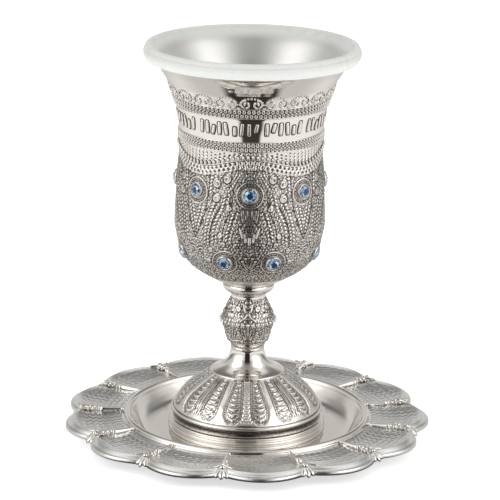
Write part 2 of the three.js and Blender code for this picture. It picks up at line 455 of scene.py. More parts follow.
def add_turned(name, points, finish, replaces=(), **attributes):
    """A turned piece. A profile that starts and ends on the axis gets poles there."""
    rows, columns = points.shape[:2]
    on_axis = np.hypot(*points[0, 0, :2]) < 1e-6
    flat = points.reshape(-1, 3)
    if not on_axis:
        faces = grid_faces(rows, columns, True).tolist()
        return add_piece(name, flat, faces, finish, replaces, **attributes)
    inner = points[1:-1].reshape(-1, 3)
    faces = grid_faces(rows - 2, columns, False).tolist()
    low, high = len(inner), len(inner) + 1
    last = (rows - 3) * columns
    for column in range(columns):
        right = (column + 1) % columns
        faces.append([low, right, column])
        faces.append([high, last + column, last + right])
    trimmed = {}
    for label, values in attributes.items():
        values = np.asarray(values, float)
        trimmed[label] = np.append(values[1:-1].ravel(), [values[0, 0], values[-1, 0]])
    vertices = np.vstack([inner, points[0, :1], points[-1, :1]])
    return add_piece(name, vertices, faces, finish, replaces, **trimmed)


def add_chased(name, node, stretches, heights, chased, depth):
    """A turned piece with a height field on each stretch; all but the chased stretch are polished."""
    profile = np.vstack(stretches)
    kept = np.append(True, np.linalg.norm(np.diff(profile, axis=0), axis=1) > 1e-6)
    height = np.vstack(heights)[kept]
    polish = [np.full(block.shape, float(index != chased)) for index, block in enumerate(heights)]
    add_turned(name, turn(profile[kept], height.shape[1], height - depth), "chased_plating", (node,),
               relief=height / depth, polish=np.vstack(polish)[kept])


def merge(parts):
    """One vertex array and face list from several."""
    points, faces, offset = [], [], 0
    for part_points, part_faces in parts:
        points.append(part_points)
        faces.extend((np.asarray(part_faces) + offset).tolist()
                     if isinstance(part_faces, np.ndarray)
                     else [[index + offset for index in face] for face in part_faces])
        offset += len(part_points)
    return np.vstack(points), faces


def add_shares(name, parts):
    """A chased piece made of (points, faces, share) parts; share is 0 where the part takes the dark colour
    of oxide and painted shade, 1 where it is bright.
    """
    points, faces = merge([(part[0], part[1]) for part in parts])
    share = np.concatenate([np.full(len(part[0]), part[2]) for part in parts])
    add_piece(name, points, faces, "chased_plating", relief=share)


def ball(subdivisions=1):
    """Vertices and faces of a unit icosphere."""
    sphere = bmesh.new()
    bmesh.ops.create_icosphere(sphere, subdivisions=subdivisions, radius=1.0)
    points = np.array([vertex.co[:] for vertex in sphere.verts])
    faces = np.array([[vertex.index for vertex in face.verts] for face in sphere.faces])
    sphere.free()
    return points, faces


def ring(major, minor, around=10, across=5):
    """Vertices and faces of a torus lying flat, its hole along Z."""
    u = TURN * np.arange(around)[:, None] / around
    v = TURN * np.arange(across)[None, :] / across
    radius = major + minor * np.cos(v)
    points = np.stack([radius * np.cos(u), radius * np.sin(u), minor * np.sin(v) + 0 * u], -1)
    return points.reshape(-1, 3), grid_faces(around, across, True)[:, ::-1]


def bar(sides=20):
    """A cushion-shaped bar 2 long, 2 wide and 1 high, standing on its foot."""
    spin = TURN * np.arange(sides) / sides
    outline = np.stack([np.sign(np.cos(spin)) * np.abs(np.cos(spin))**0.6,
                        np.sign(np.sin(spin)) * np.abs(np.sin(spin))**0.35], 1)
    levels = ((1.12, -0.6), (1.06, 0.0), (1.0, 0.45), (0.86, 0.85), (0.6, 1.0))
    points = np.vstack([np.column_stack([outline * share, np.full(sides, level)])
                        for share, level in levels])
    faces = grid_faces(len(levels), sides, False).tolist()
    hub = len(points)
    points = np.vstack([points, [[0, 0, 1.0], [0, 0, -0.6]]])
    last = (len(levels) - 1) * sides
    for index in range(sides):
        ahead = (index + 1) % sides
        faces.append([hub, last + index, last + ahead])
        faces.append([hub + 1, ahead, index])
    return points, faces


def stamp(shape, places, frames, sizes):
    """Copies of a shape at places; frames hold each copy's three axes, sizes its three scales."""
    points, faces = shape
    scaled = points[None] * np.asarray(sizes, float)[:, None, :]
    moved = np.einsum("nij,njk->nik", scaled, np.asarray(frames)) + np.asarray(places)[:, None, :]
    if not isinstance(faces, np.ndarray):
        return merge([(copy, faces) for copy in moved])
    offsets = len(points) * np.arange(len(moved))
    copies = (faces[None] + offsets[:, None, None]).reshape(-1, faces.shape[1])
    return moved.reshape(-1, 3), copies


def tube(path, radius, sides=6, loop=False):
    """A round wire along a path; radius is one number or one per point."""
    path = np.asarray(path, float)
    along = np.roll(path, -1, 0) - np.roll(path, 1, 0) if loop else np.gradient(path, axis=0)
    along /= np.linalg.norm(along, axis=1, keepdims=True)
    helper = np.zeros_like(along)
    side = np.cross(along[0], [0.0, 0.0, 1.0])
    if np.linalg.norm(side) < 1e-3:
        side = np.cross(along[0], [0.0, 1.0, 0.0])
    for index, direction in enumerate(along):
        side = side - direction * np.dot(side, direction)
        side /= np.linalg.norm(side)
        helper[index] = side
    other = np.cross(along, helper)
    angle = TURN * np.arange(sides) / sides
    radius = np.broadcast_to(radius, len(path))[:, None, None]
    around = helper[:, None] * np.cos(angle)[:, None] + other[:, None] * np.sin(angle)[:, None]
    points = (path[:, None] + radius * around).reshape(-1, 3)
    faces = grid_faces(len(path), sides, loop).tolist()
    if not loop:
        last = (len(path) - 1) * sides
        faces.append(list(range(sides))[::-1])
        faces.append([last + index for index in range(sides)])
    return points, faces


# ------------------------------------------------------------------ the cup's outlines

def cup_curve(step, *knots):
    """A curve through knots whose heights are given above the foot's standing edge."""
    return curve(step, *((radius, height + CUP_BASE) for radius, height in knots))


LOW_BRAID = CUP_BASE + 110.0
UPPER_BRAID = CUP_BASE + 122.4
SCROLL_BAND = CUP_BASE + 125.8

BOWL_COLUMNS = 576
SHELL_COLUMNS = 224
HOOP_COLUMNS = 256
INSERT_COLUMNS = 96
LOWER_SKIN = cup_curve(0.28, (9.5, 55.5), (14.0, 57.9), (18.4, 60.6), (22.2, 63.6), (24.9, 67.2),
                       (26.2, 71.0), (26.75, 74.0))
BELLY_SKIN = cup_curve(0.28, (26.75, 74.0), (27.25, 76.2), (27.5, 78.5), (27.5, 82.0), (27.2, 88.0),
                       (26.9, 94.0), (26.6, 99.0), (26.1, 104.0), (25.95, 107.0), (25.95, 110.0))
CHASED_SKIN = join(LOWER_SKIN, BELLY_SKIN)
UPPER_SKIN = join(
    cup_curve(0.5, (25.95, 110.0), (26.05, 113.6), (26.35, 117.5), (27.1, 121.8)),
    cup_curve(0.5, (27.1, 121.8), (28.1, 124.6), (29.05, 127.4), (29.95, 130.0), (30.8, 131.5),
              (31.75, 133.0), (33.1, 135.0), (34.8, 137.0), (36.2, 138.2)),
    cup_curve(0.3, (36.2, 138.2), (36.25, 138.8)),
)
INSIDE = cup_curve(2.0, (35.2, 139.0), (33.2, 137.0), (31.2, 134.7), (29.1, 130.2), (25.7, 120.5),
                   (24.9, 113.0), (24.9, 104.5), (26.0, 90.0), (25.9, 77.0), (24.5, 70.5),
                   (21.4, 64.9), (12.5, 59.6), (0.0, 58.0))
SKIN = join(CHASED_SKIN, UPPER_SKIN)


def on_bowl(angles, heights, proud=0.0):
    """Places on the bowl's skin and the three axes there: across, up and outward."""
    angles, heights = np.broadcast_arrays(np.asarray(angles, float), np.asarray(heights, float))
    radius = np.interp(heights, SKIN[:, 1], SKIN[:, 0])
    normals = outward(SKIN)
    out_r = np.interp(heights, SKIN[:, 1], normals[:, 0])
    out_z = np.interp(heights, SKIN[:, 1], normals[:, 1])
    size = np.hypot(out_r, out_z)
    out_r, out_z = out_r / size, out_z / size
    sin, cos, flat = np.sin(angles), np.cos(angles), 0 * angles
    radial = np.stack([sin, -cos, flat], -1)
    across = np.stack([cos, sin, flat], -1)
    upright = np.array([0.0, 0.0, 1.0])
    out = radial * out_r[..., None] + upright * out_z[..., None]
    up = upright * out_r[..., None] - radial * out_z[..., None]
    lift = np.asarray(proud, float)[..., None] if np.ndim(proud) else proud
    places = radial * radius[..., None] + upright * heights[..., None] + out * lift
    return places, np.stack([across, up, out], -2)


def one_place(angle, height, proud=0.0):
    """One place on the bowl's skin and its three axes."""
    places, frames = on_bowl(np.array([angle]), np.array([height]), proud)
    return places[0], frames[0]


# ------------------------------------------------------------------ chasing

class Chasing:
    """A height field over part of a turned skin. across is the way round, up the way along."""

    def __init__(self, columns, profile, fold, ground):
        """The field covers one of 2 * fold mirrored shares of the turn, and starts at ground."""
        self.fold = fold
        self.columns = columns // (2 * fold)
        steps = np.linalg.norm(np.diff(profile, axis=0), axis=1)
        self.up = np.append(0.0, np.cumsum(steps))
        self.radius = profile[:, 0]
        angle = math.pi / fold * (np.arange(self.columns + 1)) / self.columns
        self.across = angle[None, :] * self.radius[:, None]
        self.rise = np.repeat(self.up[:, None], self.columns + 1, 1)
        self.ground = ground
        self.moat = 0.32
        self.height = np.full_like(self.across, ground)

    def spot(self, degrees, up):
        """Field position of an angle and a way up."""
        radius = np.interp(up, self.up, self.radius)
        return np.stack([np.radians(degrees) * radius, np.asarray(up) + 0 * radius], -1)

    def gaps(self, path, reach_out):
        """Distance of every point to a path, and a window that holds those nearer than reach_out."""
        low, high = path.min(0) - reach_out, path.max(0) + reach_out
        near = ((self.across > low[0]) & (self.across < high[0])
                & (self.rise > low[1]) & (self.rise < high[1]))
        x, y = self.across[near][:, None], self.rise[near][:, None]
        start, run = path[None, :-1], np.diff(path, axis=0)[None]
        length = np.maximum((run**2).sum(-1), 1e-12)
        share = ((x - start[..., 0]) * run[..., 0] + (y - start[..., 1]) * run[..., 1]) / length
        share = np.clip(share, 0, 1)
        gap = np.hypot(x - start[..., 0] - share * run[..., 0],
                       y - start[..., 1] - share * run[..., 1])
        return near, gap.min(1) if gap.size else np.zeros(0)

    def wire(self, path, half_width, height):
        """A round-backed wire over what is there, with a sunk line along each side of it."""
        near, gap = self.gaps(np.asarray(path, float), half_width + self.moat)
        crest = height * np.clip(1 - (gap / half_width)**2, 0, 1)**0.7
        # The sunk lines take the recesses' dark colour: oxide and painted shade beside each wire.
        sunk = self.ground * np.clip((gap - half_width) / self.moat, 0, 1)**2
        self.height[near] = np.where(gap < half_width, crest, np.minimum(self.height[near], sunk))

    def groove(self, path, half_width, depth):
        """A sunk line, or where the path is one place a pit."""
        near, gap = self.gaps(np.asarray(path, float), half_width)
        share = np.clip(gap / half_width, 0, 1)
        self.height[near] = np.minimum(self.height[near], depth * share**4)

    def dot(self, centre, half_width, height):
        """A bead, or with a negative height a pit."""
        path = np.array([centre, np.asarray(centre) + 1e-6])
        if height > 0:
            self.wire(path, half_width, height)
        else:
            self.groove(path, half_width, -height)

    def leaf(self, centre, angle, length, half_width, height):
        """A short fat leaf with a vein."""
        along = np.array([math.cos(angle), math.sin(angle)])
        ends = np.asarray(centre) + np.outer([-0.5, 0.5], along) * (length - 2 * half_width)
        self.wire(ends, half_width, height)
        if half_width > 0.45:
            self.groove(ends, 0.14, 0.7 * height)

    def curl(self, centre, radius, start, turns, half_width, height, end_share=0.22):
        """A spiral that winds in from its outer radius; negative turns wind clockwise."""
        t = np.linspace(0, 1, max(10, round(16 * abs(turns))))
        angle = start + TURN * turns * t
        r = radius * (1 - (1 - end_share) * t)
        path = np.asarray(centre) + np.stack([r * np.cos(angle), r * np.sin(angle)], 1)
        self.wire(path, half_width, height)

    def filigree(self, spacing, height, seed):
        """Curls, leaves and berries packed close over the whole field."""
        dice = np.random.default_rng(seed)
        for row, up in enumerate(np.arange(0, self.up[-1] + spacing, 0.84 * spacing)):
            width = math.pi / self.fold * np.interp(up, self.up, self.radius)
            for across in np.arange(-0.5 * spacing * (row % 2), width + spacing, spacing):
                centre = np.array([across, up]) + dice.uniform(-0.2, 0.2, 2) * spacing
                kind, spin, size = dice.integers(0, 6), dice.uniform(0, TURN), dice.uniform(0.72, 1.0)
                if kind < 2:
                    hand = 1 if kind else -1
                    self.curl(centre, 0.44 * spacing, spin, hand, 0.15 * spacing, height * size, 0.35)
                elif kind < 5:
                    self.leaf(centre, spin, 1.1 * spacing, 0.26 * spacing, height * size)
                else:
                    self.dot(centre, 0.34 * spacing, height * size)

    def vine(self, guide, size, height):
        """Two rows of leaves along a guide, one to each side of it."""
        guide = even_path(np.asarray(guide, float), size)
        for here, ahead in zip(guide, guide[1:]):
            along = (ahead - here) / np.linalg.norm(ahead - here)
            for side in (-1, 1):
                out = side * np.array([-along[1], along[0]])
                centre = here + out * size * 0.58 + along * size * 0.25 * side
                lean = along * 0.9 + out
                self.leaf(centre, math.atan2(lean[1], lean[0]), size * 0.95, size * 0.27, height)

    def full(self):
        """The field mirrored and repeated round the whole turn."""
        half = self.height
        pair = np.concatenate([half[:, :-1], half[:, :0:-1]], 1)
        return np.tile(pair, (1, self.fold))


def even_path(path, step):
    """The same path with points a step apart."""
    lengths = np.append(0.0, np.cumsum(np.linalg.norm(np.diff(path, axis=0), axis=1)))
    marks = np.linspace(0, lengths[-1], max(2, round(lengths[-1] / step) + 1))
    return np.stack([np.interp(marks, lengths, path[:, axis]) for axis in range(2)], 1)


# ------------------------------------------------------------------ bowl

# First and last stroke of each group on the inscription band, in degrees, and how many there are.
STROKE_GROUPS = ((-40.5, -19.5, 5), (-12.5, 4.0, 4), (12.0, 40.0, 6))
BRAID_LINKS = 106
BRAID_HEIGHT = 3.35
SCROLLS = 20
ROPE_BEADS = 92
ROPE_LEAN = 0.45
STROKE_LEVEL = CUP_BASE + 118.1
# Half the width and height of a stroke, how far it stands out, and how much wider its dark ground, a
# painted shadow, is.
STROKE_HALF = (0.60, 2.3, 0.42)
STROKE_SHADOW_GROUND = (0.36, 0.34, 0.12)
SWAG_MIDDLE = CUP_BASE + 105.55
SWAG_DEPTH = 1.75
POLISHED_TOP = CUP_BASE + 59.2
# How far under the chased skin the shell lies, and the back of the chasing.
SHELL_UNDER = 0.6
BACK_UNDER = 0.8
SCROLL_SPREAD = 2.0
SCROLL_REACH = 1.75
SCROLL_TURNS = 1.3
ARCH_BEADS = 13
ARCH_ANGLE = math.radians(8.5)
ARCH_RISE = 3.75


def swag(angle):
    """Height of the swag line under the dotted zone."""
    return SWAG_MIDDLE + SWAG_DEPTH * np.cos(4 * angle)


def chase_bowl(depth):
    """Relief of the bowl, from its polished foot to the lower braid, in four mirrored panels."""
    field = Chasing(BOWL_COLUMNS, CHASED_SKIN, 4, 0.50 * depth)
    rise = np.interp(field.rise, field.up, CHASED_SKIN[:, 1])
    angle = field.across / np.interp(field.rise, field.up, field.radius)

    def mm(degrees, cup_height):
        height = np.asarray(cup_height) + CUP_BASE
        return field.spot(degrees, np.interp(height, CHASED_SKIN[:, 1], field.up))

    def line(*knots):
        smooth = curve(0.6, *knots)
        return mm(smooth[:, 0], smooth[:, 1])

    field.filigree(FILIGREE_SPACING, depth, 3)
    chase_panels(field, mm, line, depth)
    chase_palmettes(field, mm, line, depth)
    for degrees, height in ((0.0, UPPER_STONES), (45.0, UPPER_STONES), (LOWER_SPREAD, LOWER_STONES)):
        stone_rings(field, mm(degrees, height - CUP_BASE), depth)
    chase_swags(field, mm, rise - swag(angle), depth)
    field.height[rise < POLISHED_TOP] = 0.8 * depth
    return np.clip(field.full(), 0, None)


def chase_panels(field, mm, line, depth):
    """Spirals, vines and long sunk lines between the stones."""
    for knots in (((26.4, 90.6), (30.6, 86.0), (33.4, 81.0), (34.6, 75.0)),
                  ((17.4, 94.0), (19.6, 89.0), (24.4, 84.6), (26.8, 80.0), (27.6, 75.4)),
                  ((10.6, 87.6), (13.0, 83.4), (15.4, 79.6), (16.2, 75.4)),
                  ((38.6, 91.0), (41.0, 86.4), (43.6, 82.0), (45.0, 78.0)),
                  ((28.6, 101.4), (29.8, 97.4), (30.2, 93.6))):
        field.vine(line(*knots), 1.4, depth)
    for knots in (((33.4, 101.6), (33.1, 97.2), (33.7, 92.8), (35.6, 88.0), (38.8, 83.6), (42.6, 79.6),
                   (45.0, 77.4)),
                  ((22.4, 90.2), (25.6, 87.6), (28.8, 84.6), (30.9, 80.8), (31.9, 76.4), (31.6, 72.4)),
                  ((12.8, 96.4), (13.3, 92.4), (15.0, 88.2), (18.4, 84.4), (20.4, 80.4), (20.9, 76.8))):
        field.groove(line(*knots), 0.30, depth)
    for degrees, height, radius, hand in (
            (18.0, 100.0, 1.7, 1), (26.2, 98.2, 1.75, -1), (26.6, 92.9, 1.7, 1), (15.6, 89.6, 1.2, -1),
            (38.6, 101.2, 1.2, 1), (22.6, 79.4, 1.1, 1)):
        centre = mm(degrees, height)
        field.dot(centre, radius, 0.75 * depth)
        field.curl(centre, radius * 0.88, math.pi / 2, hand * 1.5, 0.26, 0.95 * depth, 0.28)
    for degrees in (0.0, 1.6, 3.2, 4.8, 6.4):
        field.wire(line((0.3 * degrees, 80.4 + 0.7 * degrees), (0.8 * degrees, 85.4), (degrees, 89.2)),
                   0.24, 0.55 * depth)
    for degrees, low, high in ((0.0, 76.0, 79.6), (3.2, 77.0, 81.0), (6.0, 78.6, 83.0)):
        middle = mm(degrees, 0.5 * (low + high))
        field.leaf(middle, math.pi / 2 - 0.05 * degrees, high - low, 0.42, 0.7 * depth)


def chase_palmettes(field, mm, line, depth):
    """Fans of rays, scrolls and leaf tips on the lower bowl."""
    for middle, hand in ((0.0, 1), (45.0, -1)):
        for spread, high in ((0.0, 71.6), (2.6, 71.2), (5.0, 70.0), (7.0, 68.2), (8.4, 66.2)):
            ray = line((middle, 64.8), (middle + hand * 0.45 * spread, 0.5 * (64.8 + high)),
                       (middle + hand * spread, high))
            field.wire(ray, 0.26, depth)
            field.dot(ray[-1], 0.46, depth)
        for low, high in ((73.6, 74.8), (72.4, 73.4)):
            field.wire(line((middle, low), (middle + hand * 3.0, 0.5 * (low + high) + 0.5),
                            (middle + hand * 6.0, high)), 0.26, depth)
    for degrees, height in ((31.4, 73.4), (34.4, 68.8), (28.2, 64.8), (11.4, 63.6), (20.0, 76.0)):
        centre = mm(degrees, height)
        field.dot(centre, 1.1, 0.8 * depth)
        field.curl(centre, 0.95, 0.0, 1.5, 0.2, depth, 0.28)
    for row, (foot, width, rise) in enumerate(((60.0, 3.3, 2.2), (61.4, 3.3, 1.9), (62.6, 3.3, 1.6))):
        for middle in np.arange(3.75 * (row % 2), 50.0, 7.5):
            t = np.linspace(0, math.pi, 13)
            field.wire(mm(middle + width * np.cos(t), foot + rise * np.sin(t)), 0.26, depth)
            field.dot(mm(middle, foot + 0.4 * rise), 0.36, depth)
    field.wire(line((0.0, 59.6), (45.0, 59.6)), 0.26, depth)


def chase_swags(field, mm, above, depth):
    """The plain zone over the swag line with its punched rows, and slanted cuts under the line."""
    field.height[above > -0.1] = 0.9 * depth
    for row in range(6):
        for column in range(12):
            degrees = column * 45 / 11
            up = swag(math.radians(degrees)) + 2.2 + 1.15 * row
            if up < CUP_BASE + 109.6:
                field.dot(mm(degrees, up - CUP_BASE), 0.50, -1.1 * depth)
    field.height[(above < -0.1) & (above > -3.3)] = 0.85 * depth
    for row, level in enumerate((-1.15, -2.45)):
        for column in range(12):
            degrees = (column + 0.35 * row) * 45 / 11.5
            middle = mm(degrees, swag(math.radians(degrees)) + level - CUP_BASE)
            field.groove(np.array([middle - [0.10, 0.20], middle + [0.10, 0.20]]), 0.50, 1.1 * depth)
    # Painted shade and oxide: a thin band just under the swag wire drops to the recesses' dark colour.
    field.height[np.abs(above + 0.3) < 0.2] = 0.0


def stone_rings(field, centre, depth):
    """Plain, beaded and plain rings on the skin round a stone."""
    spin = np.linspace(0, TURN, 60)
    circle = np.stack([np.cos(spin), np.sin(spin)], 1)
    gap = np.hypot(field.across - centre[0], field.rise - centre[1])
    # Painted shade and oxide: the patch round the stone lies low and takes part of the recesses' dark
    # colour.
    field.height[gap < STONE_PATCH] = 0.30 * depth
    field.wire(centre + OUTER_WIRE * circle, 0.24, 0.9 * depth)
    for pearl in np.arange(0, TURN, TURN / RING_PEARLS):
        spot = centre + PEARL_RING * np.array([math.cos(pearl), math.sin(pearl)])
        field.dot(spot, 0.32, 0.55 * depth)
    field.wire(centre + INNER_WIRE * circle, 0.2, 0.45 * depth)


class CUP_OT_bowl(bpy.types.Operator):
    """The bowl's shell with its chased belly and lower bowl"""

    bl_idname = "kiddush_cup.bowl"
    bl_label = "Bowl"

    def execute(self, context):
        depth = context.scene.cup_sizes.chasing / MM
        under = CHASED_SKIN - SHELL_UNDER * outward(CHASED_SKIN)
        shell = np.vstack([[[0.0, COLLAR_TOP]], under[::8], UPPER_SKIN, INSIDE])
        add_turned("bowl_shell", turn(shell, SHELL_COLUMNS), "polished_plating", ("bowl",))
        height = chase_bowl(depth)
        skin = turn(CHASED_SKIN, BOWL_COLUMNS, height - depth)
        back = turn(CHASED_SKIN - BACK_UNDER * outward(CHASED_SKIN), BOWL_COLUMNS)
        split = len(LOWER_SKIN) - 1
        for name, rows in (("bowl_lower", slice(0, split + 1)), ("bowl_belly", slice(split, None))):
            behind = back[rows][::-12]
            share = np.vstack([np.clip(height[rows] / depth, 0, 1), np.zeros(behind.shape[:2])])
            add_turned(name, np.concatenate([skin[rows], behind]), "chased_plating", relief=share)
        return {"FINISHED"}


def hoop(low, high, proud):
    """A flat band laid round the bowl between two heights, standing proud of the skin."""
    heights = np.linspace(low, high, 6)
    radius = np.interp(heights, SKIN[:, 1], SKIN[:, 0])
    outer = np.stack([radius + proud, heights], 1)
    inner = np.stack([radius[::-1] - 0.4, heights[::-1]], 1)
    points = turn(np.vstack([outer, inner]), HOOP_COLUMNS)
    return points.reshape(-1, 3), grid_faces(len(points), HOOP_COLUMNS, True).tolist()


class CUP_OT_bands(bpy.types.Operator):
    """The braids, the scroll band, the row of strokes and the swag rope on the bowl"""

    bl_idname = "kiddush_cup.bands"
    bl_label = "Bands"

    def execute(self, context):
        wire = context.scene.cup_sizes.wire / MM
        self.braid("braid_lower", LOW_BRAID)
        self.braid("braid_upper", UPPER_BRAID)
        self.scrolls(wire)
        self.strokes()
        self.rope()
        return {"FINISHED"}

    def braid(self, name, low):
        """Two rows of small oval rings on a dark ground, between fine border wires."""
        # Painted shade and oxide: the ground band takes the recesses' dark colour between the links.
        parts = [(*hoop(low - 0.1, low + BRAID_HEIGHT, 0.05), 0.06)]
        for row, level in enumerate((0.85, 2.4)):
            angles = TURN * (np.arange(BRAID_LINKS) + 0.5 * row) / BRAID_LINKS
            places, frames = on_bowl(angles, low + level, 0.16)
            links = stamp(ring(0.5, 0.27), places, frames, np.tile([0.95, 1.2, 1.0], (BRAID_LINKS, 1)))
            parts.append((*links, 1.0))
        for level in (-0.1, BRAID_HEIGHT + 0.05):
            angles = TURN * np.arange(240) / 240
            parts.append((*tube(on_bowl(angles, low + level, 0.05)[0], 0.22, 6, True), 1.0))
        add_shares(name, parts)

    def scrolls(self, wire):
        """Arches of beads, each over two facing spirals, with oxide and painted shade round the wires and
        beads.
        """
        parts, beads = [], []
        t = np.linspace(0, 1, 26)
        for middle in TURN * np.arange(SCROLLS) / SCROLLS:
            for hand in (-1, 1):
                spin = math.pi / 2 - hand * SCROLL_TURNS * TURN * t
                reach_out = SCROLL_REACH * (1 - 0.85 * t**1.3)
                across = hand * SCROLL_SPREAD + reach_out * np.cos(spin) * 1.05
                up = SCROLL_BAND + 1.95 + reach_out * np.sin(spin)
                angles = middle + across / np.interp(up, SKIN[:, 1], SKIN[:, 0])
                parts.append((*tube(on_bowl(angles, up, 0.12)[0], wire * (1.2 + 0.5 * t**3), 6), 1.0))
                # Painted shade and oxide: a wider tube sunk under each wire, in the recesses' dark colour,
                # outlines it dark.
                parts.append((*tube(on_bowl(angles, up, -0.62)[0], 0.82, 6), 0.05))
            for swing in np.linspace(-math.pi / 2, math.pi / 2, ARCH_BEADS):
                rise = max(0.0, math.cos(swing))**0.7
                beads.append((middle + ARCH_ANGLE * math.sin(swing), SCROLL_BAND + 0.5 + ARCH_RISE * rise))
        beads = np.array(beads)
        # The second set of beads, sunk and larger, takes the recesses' dark colour: oxide and painted
        # shade round each bead.
        for proud, size, share in ((0.12, 0.42, 1.0), (-0.5, 0.76, 0.05)):
            places, frames = on_bowl(beads[:, 0], beads[:, 1], proud)
            parts.append((*stamp(ball(1), places, frames, np.full((len(beads), 3), size)), share))
        add_shares("scroll_band", parts)

    def strokes(self):
        """Groups of plain upright and leaning bars where an inscription would be, each outlined by a
        painted shadow.
        """
        places, frames, sizes = [], [], []
        leans = (0.0, 0.22, 0.0, -0.12, 0.0, 0.10)
        for panel in range(4):
            for first, last, count in STROKE_GROUPS:
                for index, degrees in enumerate(np.linspace(first, last, count)):
                    lean = leans[(index + count) % len(leans)]
                    short = 0.72 if (index + count) % 3 == 1 else 1.0
                    level = STROKE_LEVEL + (1 - short) * (2.2 if index % 2 else -2.2)
                    place, (across, up, out) = one_place(math.radians(degrees + 90 * panel), level)
                    places.append(place)
                    frames.append([across * math.cos(lean) - up * math.sin(lean),
                                   up * math.cos(lean) + across * math.sin(lean), out])
                    sizes.append([STROKE_HALF[0], STROKE_HALF[1] * short, STROKE_HALF[2]])
        places, frames, sizes = np.array(places), np.array(frames), np.array(sizes)
        bars = stamp(bar(), places + 0.05 * frames[:, 2], frames, sizes)
        # Painted shadow: a wider, flat copy of each bar in the recesses' dark colour outlines it.
        wider = sizes * [1.0, 1.0, 0.0] + STROKE_SHADOW_GROUND
        shadow_grounds = stamp(bar(), places + 0.04 * frames[:, 2], frames, wider)
        add_shares("band_strokes", [(*bars, 0.95), (*shadow_grounds, 0.0)])

    def rope(self):
        """The swag line: a thin wire with a row of slanted beads above it."""
        angles = TURN * np.arange(480) / 480
        parts = [(*tube(on_bowl(angles, swag(angles), 0.22)[0], 0.22, 6, True), 1.0)]
        angles = TURN * (np.arange(ROPE_BEADS) + 0.5) / ROPE_BEADS
        # The second row of beads, sunk and larger, takes the recesses' dark colour: oxide and painted
        # shade round each bead.
        for proud, size, share in ((0.26, (0.55, 0.85, 0.5), 1.0), (-0.2, (0.85, 1.12, 0.4), 0.05)):
            places, frames = on_bowl(angles, swag(angles) + 0.86, proud)
            slanted = frames.copy()
            slanted[:, 0] = math.cos(ROPE_LEAN) * frames[:, 0] + math.sin(ROPE_LEAN) * frames[:, 1]
            slanted[:, 1] = math.cos(ROPE_LEAN) * frames[:, 1] - math.sin(ROPE_LEAN) * frames[:, 0]
            parts.append((*stamp(ball(2), places, slanted, np.tile(size, (ROPE_BEADS, 1))), share))
        add_shares("swag_rope", parts)


# ------------------------------------------------------------------ stones

COLLET_SIDES = 28
CLAWS = 8


def stone_spots():
    """Name, angle and height of each stone."""
    spots = []
    for index in range(STONES_PER_ROW):
        angle = TURN * index / STONES_PER_ROW
        spots.append((f"stone_upper_{index + 1}", angle, UPPER_STONES))
        panel = TURN / 4 * math.ceil(index / 2)
        spread = math.radians(-LOWER_SPREAD if index % 2 else LOWER_SPREAD)
        spots.append((f"stone_lower_{index + 1}", panel + spread, LOWER_STONES))
    return spots


def gem_shape():
    """A round brilliant, as the hull of its facet corners."""
    rings = (
        (8, 0.56, 0.42, 0.0),
        (8, 0.82, 0.26, 0.5),
        (16, 1.0, 0.04, 0.0),
        (16, 1.0, -0.02, 0.0),
        (8, 0.55, -0.26, 0.5),
        (1, 0.0, -0.42, 0.0),
    )
    gem = bmesh.new()
    for count, radius, height, shift in rings:
        for index in range(count):
            angle = TURN * (index + shift) / count
            gem.verts.new((radius * math.cos(angle), radius * math.sin(angle), height))
    bmesh.ops.convex_hull(gem, input=gem.verts)
    bmesh.ops.dissolve_limit(gem, angle_limit=math.radians(1), verts=gem.verts, edges=gem.edges)
    gem.verts.index_update()
    points = np.array([vertex.co[:] for vertex in gem.verts])
    faces = [[vertex.index for vertex in face.verts] for face in gem.faces]
    gem.free()
    return points, faces


# Painted brightness of a facet, one drawn at random for each.
PAINTED_FACET_LIGHTS = [0.1, 0.3, 0.5, 0.7, 1.0]


def split_facets(points, faces, seed):
    """The stone with each facet's corners its own, and each facet's painted light: a random brightness,
    the table painted darkest.
    """
    dice = np.random.default_rng(seed)
    corners, facets, shares = [], [], []
    for face in faces:
        facets.append(list(range(len(corners), len(corners) + len(face))))
        corners.extend(points[index] for index in face)
        shares.extend([0.0 if len(face) == 8 else dice.choice(PAINTED_FACET_LIGHTS)] * len(face))
    return np.array(corners), facets, shares


